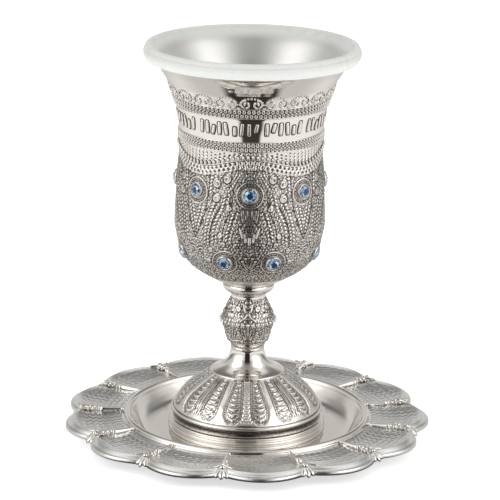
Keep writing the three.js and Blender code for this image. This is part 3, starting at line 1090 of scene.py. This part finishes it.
class CUP_OT_stones(bpy.types.Operator):
    """Sixteen faceted stones in pearled collets"""

    bl_idname = "kiddush_cup.stones"
    bl_label = "Stones and collets"

    def execute(self, context):
        bead = context.scene.cup_sizes.bead / MM
        gem_points, gem_faces = gem_shape()
        collets = []
        for number, (name, angle, height) in enumerate(stone_spots()):
            place, frame = one_place(angle, height, 0.15)
            points = gem_points * STONE_RADIUS @ frame + place
            corners, facets, shares = split_facets(points, gem_faces, number)
            gem = add_piece(name.replace("stone", "gem"), corners, facets, "foiled_glass", (name,),
                            relief=shares)
            gem.data.polygons.foreach_set("use_smooth", np.zeros(len(gem.data.polygons), bool))
            collets.append(self.collet(angle, height, bead))
        add_shares("collets", [part for group in collets for part in group])
        return {"FINISHED"}

    def collet(self, angle, height, bead):
        """A short cup let into the skin, with claws over the stone's edge."""
        place, frame = one_place(angle, height)
        profile = join(
            curve(0.3, (0.0, -0.7), (2.9, -0.7)),
            curve(0.3, (2.9, -0.7), (2.9, 0.1), (2.62, 0.48), (2.3, 0.42)),
            curve(0.3, (2.3, 0.42), (2.2, -0.3)),
            curve(0.5, (2.2, -0.3), (0.0, -0.4)))
        cup = turn(profile, COLLET_SIDES)[1:-1].reshape(-1, 3)
        faces = grid_faces(len(profile) - 2, COLLET_SIDES, False).tolist()
        faces.append(list(range(COLLET_SIDES))[::-1])
        faces.append([len(cup) - COLLET_SIDES + index for index in range(COLLET_SIDES)])
        spin = TURN * (np.arange(CLAWS) + 0.5) / CLAWS
        tips = np.stack([2.2 * np.cos(spin), 2.2 * np.sin(spin), 0.55 + 0 * spin], 1) @ frame + place
        claws = stamp(ball(1), tips, np.tile(frame, (CLAWS, 1, 1)), np.full((CLAWS, 3), bead * 0.55))
        # Painted shade and oxide: the collet takes part of the recesses' dark colour round the stone.
        return [(cup @ frame + place, faces, 0.36), (*claws, 0.6)]


# ------------------------------------------------------------------ insert cup

class CUP_OT_insert(bpy.types.Operator):
    """The milky plastic insert with its rolled rim"""

    bl_idname = "kiddush_cup.insert"
    bl_label = "Insert cup"

    def execute(self, context):
        profile = join(
            cup_curve(5.0, (0.0, 66.0), (13.4, 66.0)),
            cup_curve(2.4, (13.4, 66.0), (19.0, 68.2), (22.2, 74.0), (23.6, 88.0), (24.3, 104.5),
                      (24.6, 113.0), (25.4, 120.5), (28.6, 130.4), (30.8, 134.9), (33.2, 137.6),
                      (35.4, 139.25)),
            cup_curve(0.3, (35.4, 139.25), (36.7, 139.2)),
            cup_curve(0.3, (36.7, 139.2), (36.8, 138.4), (37.2, 138.1), (37.8, 138.2),
                      (38.6, 139.2), (39.0, 140.6), (38.85, 141.9)),
            cup_curve(0.2, (38.85, 141.9), (38.45, 142.25), (38.4, 142.7)),
            cup_curve(0.3, (38.4, 142.7), (38.2, 143.3), (37.6, 143.7), (36.9, 143.75),
                      (36.3, 143.4), (35.6, 142.5), (34.2, 141.0), (32.2, 138.5), (29.9, 134.6),
                      (27.7, 130.3), (25.5, 124.6), (24.4, 120.0), (23.7, 113.0), (23.4, 104.5),
                      (22.7, 88.0), (21.3, 74.6), (18.6, 69.4), (13.2, 66.9)),
            cup_curve(1.5, (13.2, 66.9), (0.0, 66.9)))
        edge = CUP_BASE + 141.2
        deep = np.clip((edge - profile[:, 1]) / 2.2, 0, 1) * (profile[:, 0] < 34.4)
        add_turned("insert_body", turn(profile, INSERT_COLUMNS), "insert_plastic", ("insert_cup",),
                   relief=np.repeat(deep[:, None], INSERT_COLUMNS, 1))
        return {"FINISHED"}


# ------------------------------------------------------------------ stem

STEM_COLUMNS = 240
KNOP_MIDDLE = CUP_BASE + 41.4
KNOP_RADIUS = 10.0
KNOP_BEADS = 34
KNOP_BEAD = (0.72, 0.72, 0.78)


class CUP_OT_stem(bpy.types.Operator):
    """The stem: smooth skirt and waist, chased knop with a beaded equator, and collar"""

    bl_idname = "kiddush_cup.stem"
    bl_label = "Stem"

    def execute(self, context):
        depth = context.scene.cup_sizes.chasing / MM
        low = join(
            cup_curve(1.5, (0.0, 21.4), (13.45, 21.4)),
            cup_curve(0.25, (13.45, 21.4), (13.6, 21.7), (13.4, 22.05)),
            cup_curve(0.4, (13.4, 22.05), (10.8, 22.75), (8.9, 23.9), (7.6, 25.6), (6.7, 27.6),
                      (6.2, 29.6), (6.25, 31.2), (6.6, 32.5), (7.1, 33.0)))
        knop = join(
            cup_curve(0.3, (7.1, 33.0), (7.9, 33.5), (8.35, 35.4), (9.0, 37.5), (9.6, 39.3),
                      (9.95, 40.6)),
            cup_curve(0.3, (9.95, 40.6), (10.05, 41.4), (9.95, 42.2)),
            cup_curve(0.3, (9.95, 42.2), (9.55, 43.6), (8.8, 45.3), (7.9, 47.0), (7.1, 48.7),
                      (6.5, 50.0)))
        high = join(
            cup_curve(0.3, (6.5, 50.0), (6.3, 50.7), (6.4, 51.5)),
            cup_curve(0.3, (6.4, 51.5), (7.2, 51.8), (8.4, 52.5), (9.3, 53.6), (9.5, 54.7),
                      (9.2, 55.5)),
            cup_curve(1.5, (9.2, 55.5), (0.0, 55.5)))
        heights = [np.full((len(stretch), STEM_COLUMNS), depth) for stretch in (low, knop, high)]
        heights[1] = self.chase(knop, depth)
        add_chased("stem_body", "stem", (low, knop, high), heights, 1, depth)
        angles = TURN * np.arange(KNOP_BEADS) / KNOP_BEADS
        places = np.stack([KNOP_RADIUS * np.sin(angles), -KNOP_RADIUS * np.cos(angles),
                           KNOP_MIDDLE + 0 * angles], 1)
        frames = np.tile(np.eye(3), (KNOP_BEADS, 1, 1))
        points, faces = stamp(ball(2), places, frames, np.tile(KNOP_BEAD, (KNOP_BEADS, 1)))
        add_piece("knop_beads", points, faces, "polished_plating")
        return {"FINISHED"}

    def chase(self, knop, depth):
        """Big curls over the beads and fanned leaves under them, four times round."""
        field = Chasing(STEM_COLUMNS, knop, 4, 0.5 * depth)

        def mm(degrees, cup_height):
            return field.spot(degrees, np.interp(cup_height + CUP_BASE, knop[:, 1], field.up))

        def line(*knots):
            return np.array([mm(*knot) for knot in knots])

        field.filigree(FILIGREE_SPACING, depth, 11)
        for degrees, height, radius, hand in ((27.0, 46.9, 1.25, 1), (9.0, 47.9, 0.85, -1),
                                              (11.0, 44.4, 0.95, 1), (40.0, 44.6, 0.95, -1)):
            centre = mm(degrees, height)
            field.dot(centre, radius * 0.95, 0.7 * depth)
            field.curl(centre, radius * 0.8, 0.0, hand * 1.5, 0.24, depth, 0.3)
        field.wire(line((0.0, 45.6), (8.0, 46.4), (15.0, 48.6)), 0.26, depth)
        field.wire(line((0.0, 45.6), (8.0, 43.8), (18.0, 42.6)), 0.26, depth)
        for degrees in (0.0, 45.0):
            for spread, high in ((0.0, 39.6), (7.0, 39.0), (13.0, 37.6)):
                foot = degrees + (spread * 0.4 if degrees == 0 else -spread * 0.4)
                head = degrees + (spread if degrees == 0 else -spread)
                field.wire(line((foot, 34.4), (head, high)), 0.3, depth)
                field.dot(mm(head, high), 0.42, depth)
        field.leaf(mm(22.5, 37.0), math.pi / 2, 3.4, 0.7, depth)
        field.curl(mm(22.5, 36.2), 1.2, math.pi / 2, 1.0, 0.22, depth, 0.8)
        scallop = [(t, 34.1 + 0.7 * abs(math.sin(math.radians(t) * 4))) for t in np.linspace(0, 45, 24)]
        field.wire(line(*scallop), 0.28, depth)
        return field.full()


# ------------------------------------------------------------------ foot

FOOT_COLUMNS = 576
LEAF_ANGLES = (11.25, 33.75)
LEAF_HALF_WIDTH = 3.1


class CUP_OT_foot(bpy.types.Operator):
    """The domed foot with its stacked leaves and turned mouldings"""

    bl_idname = "kiddush_cup.foot"
    bl_label = "Foot"

    def execute(self, context):
        depth = context.scene.cup_sizes.chasing / MM
        inside = cup_curve(3.0, (0.0, 20.2), (12.5, 20.2), (21.4, 14.2), (25.7, 7.6), (26.8, 3.0),
                           (27.4, 0.0))
        mouldings = join(
            cup_curve(0.4, (27.4, 0.0), (28.7, 0.0)),
            cup_curve(0.2, (28.7, 0.0), (28.9, 0.3), (28.9, 0.8), (28.6, 1.1)),
            cup_curve(0.2, (28.6, 1.1), (28.15, 1.4), (28.5, 1.8), (28.8, 2.3), (28.5, 2.8),
                      (27.9, 3.05)),
            cup_curve(0.2, (27.9, 3.05), (28.2, 3.45), (28.4, 3.9), (28.1, 4.3), (27.5, 4.55)),
            cup_curve(0.25, (27.5, 4.55), (27.2, 5.3), (27.1, 6.1), (27.2, 6.6)),
            cup_curve(0.2, (27.2, 6.6), (27.75, 6.85), (28.1, 7.4), (28.0, 8.0), (27.6, 8.5),
                      (27.2, 8.7)))
        dome = join(
            cup_curve(0.3, (27.2, 8.7), (26.9, 9.1), (26.2, 10.2), (25.1, 12.0), (23.1, 14.6),
                      (20.0, 17.1), (16.6, 19.5), (13.9, 21.3)))
        crown = cup_curve(3.0, (13.9, 21.3), (13.0, 21.4), (0.0, 21.4))
        stretches = (inside, mouldings, dome, crown)
        heights = [np.full((len(stretch), FOOT_COLUMNS), depth) for stretch in stretches]
        # Painted shade and oxide: the mouldings' inner, concave parts sink a little and take part of the
        # recesses' dark colour, more the further in.
        heights[1] *= np.clip((mouldings[:, :1] - 27.0) / 1.6, 0.1, 1)
        heights[2] = self.chase(dome, depth)
        add_chased("foot_body", "foot", stretches, heights, 2, depth)
        return {"FINISHED"}

    def chase(self, dome, depth):
        """Sixteen long leaves of stacked scales; the wedges between are plain, dotted or lined."""
        field = Chasing(FOOT_COLUMNS, dome, 4, 0.5 * depth)
        length = field.up[-1]
        radius = np.interp(field.rise, field.up, field.radius)
        degrees = np.degrees(field.across / radius)
        half = self.half_leaf(field.rise, length)
        off_leaf = np.min([np.abs(degrees - leaf) for leaf in LEAF_ANGLES], 0)
        plain = off_leaf * radius * math.pi / 180 > half
        field.height[plain | (field.rise < 0.8)] = 0.9 * depth
        for row in range(20):
            for column in range(6):
                spot = field.spot((column + 0.5 * (row % 2)) * 2.4, 1.5 + 0.92 * row)
                leaf_side = math.radians(LEAF_ANGLES[0]) * np.interp(spot[1], field.up, field.radius)
                gap = leaf_side - spot[0]
                if spot[1] < length and gap > self.half_leaf(spot[1], length) + 0.3:
                    field.dot(spot, 0.30, -0.9 * depth)
        for lined in (40.6, 42.8, 45.0):
            field.groove(np.array([field.spot(lined, 2.0), field.spot(lined, length)]), 0.22, 0.8 * depth)
        for leaf in LEAF_ANGLES:
            self.scales(field, leaf, length, depth)
        return field.full()

    def scales(self, field, leaf, length, depth):
        """One leaf: a beaded edge round a column of crescents, each with a dark bowl under it."""
        for hand in (-1, 1):
            edge = [field.spot(leaf, up) + [hand * (self.half_leaf(up, length) - 0.15), 0]
                    for up in np.linspace(1.2, length - 0.4, 30)]
            for spot in even_path(np.array(edge), 0.78):
                field.dot(spot, 0.30, 0.95 * depth)
        for up in np.cumsum(np.linspace(1.9, 2.3, 9)) + 0.2:
            wide = self.half_leaf(up, length) - 0.75
            if wide < 0.3 or up > length - 1.2:
                continue
            smile = field.spot(leaf, up + 0.7)
            across = (field.across - smile[0]) / wide
            bowed = np.clip(1 - across**2, 0, 1)
            low, high = smile[1] - 1.25 * bowed, smile[1] + 0.25 - 0.35 * bowed
            gap = np.minimum(field.rise - low, high - field.rise)
            inside = (np.abs(across) < 1) & (gap > -0.3)
            bulge = depth * np.clip(0.45 + gap[inside] / 0.5, 0, 1)
            field.height[inside] = np.where(gap[inside] > 0, bulge, 0.0)

    @staticmethod
    def half_leaf(up, length):
        """Half the width of a leaf at a distance up the dome."""
        share = np.clip(up / length, 0, 1)
        tip = np.sqrt(np.clip((up - 0.8) / 2.6, 0, 1))
        return LEAF_HALF_WIDTH * tip * (1 - 0.55 * np.clip((share - 0.35) / 0.65, 0, 1))


# ------------------------------------------------------------------ plate

RING_RADIUS = 44.2
PETALS_START = 45.7
PETAL_TIP = 67.6
PETAL_NOTCH = 62.1
PETAL_COLUMNS = 36

ROD_START = 45.4
ROD_LENGTH = 8.6
RIB_HEIGHT = 6.25
# Radius on the plate and size of the balls on a rib.
RIB_BALLS = ((54.4, 1.1), (55.9, 0.75), (46.2, 0.75))
TWIST_START = 56.0
TWIST_LENGTH = 5.4
TWIST_TURNS = 1.6
# Radius on the plate of the small leaves beside the twist, and how far they stand to each side.
SIDE_LEAVES = ((57.4, 1.25), (58.9, 1.55), (60.3, 1.2))
BELL_HINGE = 61.1
BELL_TILT = math.radians(-44)
BELL_SPREAD = 0.40
# Side, half length and half width of the lobes of a bell.
BELL_LOBES = ((0, 2.45, 1.05), (-1, 2.3, 1.05), (1, 2.3, 1.05))


def petal_edge(angle):
    """Radius of a petal's edge at an angle from the petal's middle line."""
    half = math.pi / PETALS
    out, across = PETAL_NOTCH * math.cos(half), PETAL_NOTCH * math.sin(half)
    centre = (PETAL_TIP**2 - out**2 - across**2) / (2 * (PETAL_TIP - out))
    return centre * np.cos(angle) + np.sqrt((PETAL_TIP - centre)**2 - (centre * np.sin(angle))**2)


def rib_angle(index):
    """Angle of a rib, which lies on a seam between petals."""
    return math.radians(FIRST_RIB) + TURN * index / PETALS


def petal_height(share):
    """Height of a petal's upper face from the ring, 0, to its turned-down edge, 1."""
    knots = (0.0, 0.04, 0.08, 0.2, 0.4, 0.66, 0.81, 0.85, 0.87, 0.89, 0.91, 0.94, 0.965, 0.985, 1.0)
    heights = (5.6, 5.5, 5.65, 5.3, 5.1, 5.55, 6.0, 6.35, 6.65, 6.4, 6.15, 5.6, 5.35, 5.3, 4.7)
    return np.interp(share, knots, heights)


def petal_scoop(share, side):
    """How far a petal rises from its middle line towards its seams, which are at side 1."""
    return 0.9 * (side**2 - 0.4) * np.interp(share, (0.0, 0.12, 0.66, 0.87), (0.0, 1.0, 1.0, 0.0))


class CUP_OT_plate(bpy.types.Operator):
    """The plate: polished well and ring, engine-turned petals, ribs and bells"""

    bl_idname = "kiddush_cup.plate"
    bl_label = "Plate"

    def execute(self, context):
        self.dish()
        self.ribs()
        return {"FINISHED"}

    def dish(self):
        columns = PETALS * PETAL_COLUMNS
        under = join(
            curve(4.0, (0.0, 0.0), (36.3, 0.0)),
            curve(1.2, (36.3, 0.0), (38.6, 0.7), (41.0, 2.6), (43.6, 5.4), (44.9, 5.9), (46.2, 5.5),
                  (47.6, 4.6)))
        well = join(
            curve(0.3, (PETALS_START, 5.6), (45.45, 5.9), (45.35, 6.5)),
            curve(0.25, (45.35, 6.5), (44.95, 7.0), (RING_RADIUS, 7.2), (43.45, 7.0), (43.05, 6.5)),
            curve(0.25, (43.05, 6.5), (42.85, 6.15), (42.5, 5.8)),
            curve(0.4, (42.5, 5.8), (41.3, 4.3), (39.9, 2.8), (38.3, 1.7), (36.6, 1.2)),
            curve(3.0, (36.6, 1.2), (0.0, 1.2)))
        angle = TURN * np.arange(columns) / columns + rib_angle(0)
        from_rib = (angle - rib_angle(0)) % (TURN / PETALS)
        from_middle = from_rib - math.pi / PETALS
        edge = petal_edge(from_middle)[None, :]
        side = np.abs(from_middle / (math.pi / PETALS))[None, :]

        def flange(shares, heights):
            radius = PETALS_START + (edge - PETALS_START) * shares[:, None]
            return np.stack([radius * np.sin(angle), -radius * np.cos(angle), heights + 0 * radius], -1)

        share_under = np.linspace(0.05, 0.965, 10)
        sag = -0.35 * side**6
        under_height = np.interp(share_under, [0, 0.4, 0.8, 1], [4.6, 4.1, 5.2, 4.5])[:, None]
        lower = flange(share_under, under_height + sag)
        rim = flange(np.array([0.975, 0.99, 1.0, 1.0, 1.0]),
                     np.array([4.0, 3.85, 3.9, 4.2, 4.5])[:, None] + sag)
        share_over = np.concatenate([np.linspace(0.995, 0.78, 34), np.linspace(0.765, 0.0, 34)[:-1]])
        upper_height = (petal_height(share_over)[:, None] + sag * np.clip(share_over * 4, 0, 1)[:, None]
                        + petal_scoop(share_over[:, None], side))
        upper = flange(share_over, upper_height)
        blocks = [turn(under, columns, start=rib_angle(0)), lower, rim, upper,
                  turn(well, columns, start=rib_angle(0))]
        petal = [np.zeros((len(block), columns)) for block in blocks]
        turning = [np.zeros((len(block), columns)) for block in blocks]
        for index in (1, 2, 3):
            petal[index] += 1.0
        turning[3] += np.clip((0.82 - share_over) / 0.03, 0, 1)[:, None]
        add_turned("plate_body", np.concatenate(blocks), "satin_plating", ("plate",),
                   relief=np.vstack(petal), turning=np.vstack(turning))

    def ribs(self):
        """On each seam a rod, a ball, a twisted leafy stretch and a tulip bell."""
        rods, leaves, bells = [], [], []
        for index in range(PETALS):
            angle = rib_angle(index)
            out = np.array([math.sin(angle), -math.cos(angle), 0.0])
            side = np.array([math.cos(angle), math.sin(angle), 0.0])
            up = np.array([0.0, 0.0, 1.0])

            def spot(radius, across, height):
                radius, across, height = np.broadcast_arrays(radius, across, height)
                return (out * np.asarray(radius)[..., None] + side * np.asarray(across)[..., None]
                        + up * np.asarray(height)[..., None])

            t = np.linspace(0, 1, 12)
            rod = spot(ROD_START + ROD_LENGTH * t, 0.0, 6.3 - 0.1 * np.sin(math.pi * t))
            rods.append(tube(rod, 0.45 + 0.45 * t, 10))
            frame = np.stack([side, up, out])
            for radius, size in RIB_BALLS:
                place = spot(radius, 0.0, RIB_HEIGHT)[None]
                rods.append(stamp(ball(2), place, frame[None], [[size, size, size * 0.8]]))
            t = np.linspace(0, 1, 34)
            for strand in (0.0, math.pi):
                twist = strand + TWIST_TURNS * TURN * t
                path = spot(TWIST_START + TWIST_LENGTH * t, 0.95 * np.sin(twist) * (0.6 + 0.4 * t),
                            6.75 + 0.1 * t + 0.45 * np.cos(twist))
                leaves.append(tube(path, 0.42 + 0.12 * np.sin(math.pi * t), 7))
            for hand in (-1, 1):
                t = np.linspace(0, 1, 14)
                arm = spot(59.2 + 2.7 * t, hand * (0.4 + 3.5 * t**1.3), 7.05 - 0.2 * t)
                leaves.append(tube(arm, 0.62 * (1.05 - 0.6 * t), 7))
                for radius, across in SIDE_LEAVES:
                    outer = side * hand
                    leaf_frame = np.stack([outer * 0.8 + out * 0.6, up, out * 0.8 - outer * 0.6])
                    place = spot(radius, hand * across, 6.5)[None]
                    leaves.append(stamp(ball(1), place, leaf_frame[None], [[0.5, 0.42, 0.95]]))
            along = out * math.cos(BELL_TILT) + up * math.sin(BELL_TILT)
            lift = up * math.cos(BELL_TILT) - out * math.sin(BELL_TILT)
            for hand, length, width in BELL_LOBES:
                turn_out = BELL_SPREAD * hand
                lobe = along * math.cos(turn_out) + side * math.sin(turn_out)
                across = side * math.cos(turn_out) - along * math.sin(turn_out)
                place = spot(BELL_HINGE, 0.0, 6.6) + lobe * length * 0.92 + side * hand * 0.35
                if hand == 0:
                    place = place + lift * 0.15
                bells.append(stamp(ball(2), place[None], np.stack([across, lift, lobe])[None],
                                   [[width, 0.7, length]]))
            bells.append(stamp(ball(2), spot(61.4, 0.0, 6.75)[None], frame[None], [[1.05, 0.95, 0.8]]))
        for name, parts in (("plate_rods", rods), ("plate_leaves", leaves), ("plate_bells", bells)):
            points, faces = merge(parts)
            add_piece(name, points, faces, "polished_plating")


# ------------------------------------------------------------------ stage

CAMERA_PLACE = (0.0003, -0.8943, 0.3223)
CAMERA_PITCH = math.radians(74.153)
CAMERA_ROLL = math.radians(0.977)
CAMERA_LENS = 183.75
SENSOR = 36.0

FLOOR_SIZE = 1.1
REFLECTED_SIZE = 0.60
FLOOR_PALE = (0.93, 0.93, 0.93)
FLOOR_GLOW = 0.70
AROUND_LIGHT = (0.60, 0.60, 0.60)
LIGHT_AIM = Vector((0, 0, 0.07))
# Name, place and size in metres, and power in watts.
SOFTBOXES = (
    ("left_softbox", (-0.62, -0.42, 0.50), 0.34, 1.0),
    ("right_softbox", (0.62, -0.42, 0.50), 0.34, 1.0),
    ("top_softbox", (0.0, 0.25, 0.9), 0.45, 1.2),
)


WARM_DARK = (0.028, 0.020, 0.016)
GREY = (1.0, 0.985, 0.96)
# What the metal sees round it: for each height of a direction, its brightness by the way round
# from the front, 0, to the back, 1.
STUDIO = (
    (0.00, ((0.0, 0.55), (0.12, 0.80), (0.30, 0.90), (0.50, 0.62), (0.64, 0.22), (0.82, 0.40),
            (1.0, 0.85))),
    (0.26, ((0.0, 0.60), (0.15, 0.85), (0.27, 2.10), (0.40, 2.10), (0.52, 0.70), (0.68, 0.62),
            (0.85, 0.70), (1.0, 0.62))),
    (0.55, ((0.0, 0.28), (0.15, 0.50), (0.27, 2.20), (0.42, 2.20), (0.55, 0.90), (0.68, 0.42),
            (1.0, 0.14))),
    (0.88, ((0.0, 0.30), (0.20, 0.45), (0.50, 1.05), (0.75, 0.85), (1.0, 0.50))),
)
FLOOR = ((0.0, 0.90), (0.12, 0.98), (0.30, 1.00), (0.45, 1.00), (0.60, 0.98), (0.80, 0.75), (1.0, 0.45))
# Painted shadow: grey of the floor round the plate, as reflections see it.
PAINTED_PLATE_SHADOW = 0.62
STRIP_EDGE = 0.075
STRIP_NEAR = 0.058
STRIP_FLARE = 0.12


def way_round(x, y):
    """How far round from the front a direction is, 0, to the back, 1, on either side."""
    return x.to("ABSOLUTE").to("ARCTAN2", y * -1.0) * (1 / math.pi)


def grey_ramp(shading, around, stops):
    """The studio's grey by the way round."""
    stops = [(place, tuple(level * share for share in GREY)) for place, level in stops]
    return shading.node("ShaderNodeValToRGB", {"stops": stops}, {0: around})


def studio_colour(shading, direction):
    """Colour seen from the middle of the stage along a direction."""
    x, y, z = shading.axes(direction, 3)
    around = way_round(x, y)
    colour = grey_ramp(shading, around, STUDIO[0][1])
    for below, (above, stops) in zip(STUDIO, STUDIO[1:]):
        middle, half = 0.5 * (below[0] + above), 0.3 * (above - below[0])
        share = shading.smooth_step(z, middle - half, middle + half)
        colour = shading.mix(share, colour, grey_ramp(shading, around, stops))
    strip = 1.0 - shading.smooth_step(around, STRIP_EDGE, STRIP_EDGE + 0.03)
    return shading.mix(strip * (1.0 - shading.smooth_step(z, 0.45, 0.80)), colour, WARM_DARK)


def floor_colour(shading, place):
    """Colour of the floor in reflections: grey round the plate, a painted shadow, brighter further out,
    with a dark strip in front.
    """
    x, y = shading.axes(place, 2)
    # Painted shadow: within about 0.09 to 0.20 m of the middle the reflected floor turns grey.
    near = 1.0 - shading.smooth_step(distance(x, y), 0.09, 0.20)
    colour = grey_ramp(shading, way_round(x, y), FLOOR)
    colour = shading.mix(near, colour, tuple(PAINTED_PLATE_SHADOW * share for share in GREY))
    ahead = y * -1.0
    width = (ahead - 0.15).to("MAXIMUM", 0.0) * STRIP_FLARE + STRIP_NEAR
    strip = shading.smooth_step(ahead, 0.0, 0.02) * (
        1.0 - shading.smooth_step(x.to("ABSOLUTE") / width, 0.85, 1.20))
    return shading.mix(strip, colour, WARM_DARK)


class CUP_OT_stage(bpy.types.Operator):
    """Camera, pale floor and a studio of soft light with a dark strip in front"""

    bl_idname = "kiddush_cup.stage"
    bl_label = "Stage"

    def execute(self, context):
        self.camera(context)
        self.floor()
        self.studio(context)
        self.lights()
        return {"FINISHED"}

    def camera(self, context):
        """A long lens in front, looking a little down."""
        data = bpy.data.cameras.new("camera")
        data.sensor_width = SENSOR
        data.lens = CAMERA_LENS
        camera = bpy.data.objects.new("camera", data)
        context.scene.collection.objects.link(camera)
        camera.matrix_world = (Matrix.Translation(CAMERA_PLACE) @ Matrix.Rotation(CAMERA_PITCH, 4, "X")
                               @ Matrix.Rotation(CAMERA_ROLL, 4, "Z"))
        context.scene.camera = camera
        context.scene.view_settings.view_transform = "Standard"

    def disc(self, name, size, height, material):
        """A flat round sheet for the stage; size and height in metres."""
        corners = [(size * math.sin(a), -size * math.cos(a), height)
                   for a in np.linspace(0, TURN, 64, False)]
        mesh = bpy.data.meshes.new(name)
        mesh.from_pydata(corners, [], [list(range(len(corners)))])
        mesh.materials.append(material)
        disc = bpy.data.objects.new(name, mesh)
        bpy.context.scene.collection.objects.link(disc)
        return disc

    def floor(self):
        """A pale floor for the eye, and under it a sheet that only reflections see."""
        matt = Finish("pale_floor", Base_Color=FLOOR_PALE, Roughness=0.7,
                      Emission_Color=FLOOR_PALE, Emission_Strength=FLOOR_GLOW)
        pale = self.disc("floor", FLOOR_SIZE, 0.0, matt.material)
        pale.visible_glossy = False
        glow = Finish("studio_floor", Base_Color=(0.0, 0.0, 0.0), Roughness=1.0, Emission_Strength=1.0)
        place = glow.place()
        glow.set(Emission_Color=floor_colour(glow, place))
        sheet = self.disc("reflected_floor", REFLECTED_SIZE, -0.0002, glow.material)
        sheet.visible_camera = False
        sheet.visible_diffuse = False
        sheet.visible_shadow = False
        sheet.visible_transmission = False

    def studio(self, context):
        """White to the eye; reflections see the studio's ring of light and shade."""
        world = bpy.data.worlds.new("studio")
        world.use_nodes = True
        shading = Shading(world.node_tree)
        seen = studio_colour(shading, shading.node("ShaderNodeTexCoord"))
        shiny = shading.node("ShaderNodeLightPath", output=3)
        straight = shading.node("ShaderNodeLightPath")
        colour = shading.mix(shiny, AROUND_LIGHT, seen)
        background = world.node_tree.nodes["Background"]
        feed(world.node_tree, background.inputs["Color"], shading.mix(straight, colour, (1.0, 1.0, 1.0)))
        context.scene.world = world

    def lights(self):
        """Softboxes that light the matt parts and aren't seen in the metal."""
        for name, place, size, power in SOFTBOXES:
            data = bpy.data.lights.new(name, "AREA")
            data.size = size
            data.energy = power
            light = bpy.data.objects.new(name, data)
            light.visible_glossy = False
            light.location = place
            aim = LIGHT_AIM - Vector(place)
            light.rotation_euler = aim.to_track_quat("-Z", "Y").to_euler()
            bpy.context.scene.collection.objects.link(light)


class CUP_OT_finishes(bpy.types.Operator):
    """The metal, plastic and glass finishes"""

    bl_idname = "kiddush_cup.finishes"
    bl_label = "Finishes"

    def execute(self, context):
        for make, _ in FINISHES.values():
            make(context.scene.cup_finish)
        return {"FINISHED"}


class CUP_PT_panel(bpy.types.Panel):
    """Lists the pieces of the cup and their settings"""

    bl_idname = "CUP_PT_panel"
    bl_label = "Kiddush Cup"
    bl_space_type = "VIEW_3D"
    bl_region_type = "UI"
    bl_category = "Kiddush Cup"

    def draw(self, context):
        for settings in (context.scene.cup_sizes, context.scene.cup_finish):
            for name in settings.bl_rna.properties.keys():
                if name not in ("rna_type", "name"):
                    self.layout.prop(settings, name)
        for operator in OPERATORS:
            self.layout.operator(operator.bl_idname)


OPERATORS = (CUP_OT_finishes, CUP_OT_stage, CUP_OT_plate, CUP_OT_foot, CUP_OT_stem, CUP_OT_bowl,
             CUP_OT_bands, CUP_OT_stones, CUP_OT_insert)
CLASSES = (CUP_PG_sizes, CUP_PG_finish, *OPERATORS, CUP_PT_panel)


def register():
    for cls in CLASSES:
        bpy.utils.register_class(cls)
    bpy.types.Scene.cup_sizes = PointerProperty(type=CUP_PG_sizes)
    bpy.types.Scene.cup_finish = PointerProperty(type=CUP_PG_finish)


def unregister():
    del bpy.types.Scene.cup_finish
    del bpy.types.Scene.cup_sizes
    for cls in reversed(CLASSES):
        bpy.utils.unregister_class(cls)


def main():
    register()
    for operator in OPERATORS:
        group, name = operator.bl_idname.split(".")
        getattr(getattr(bpy.ops, group), name)()


if __name__ == "__main__":
    main()
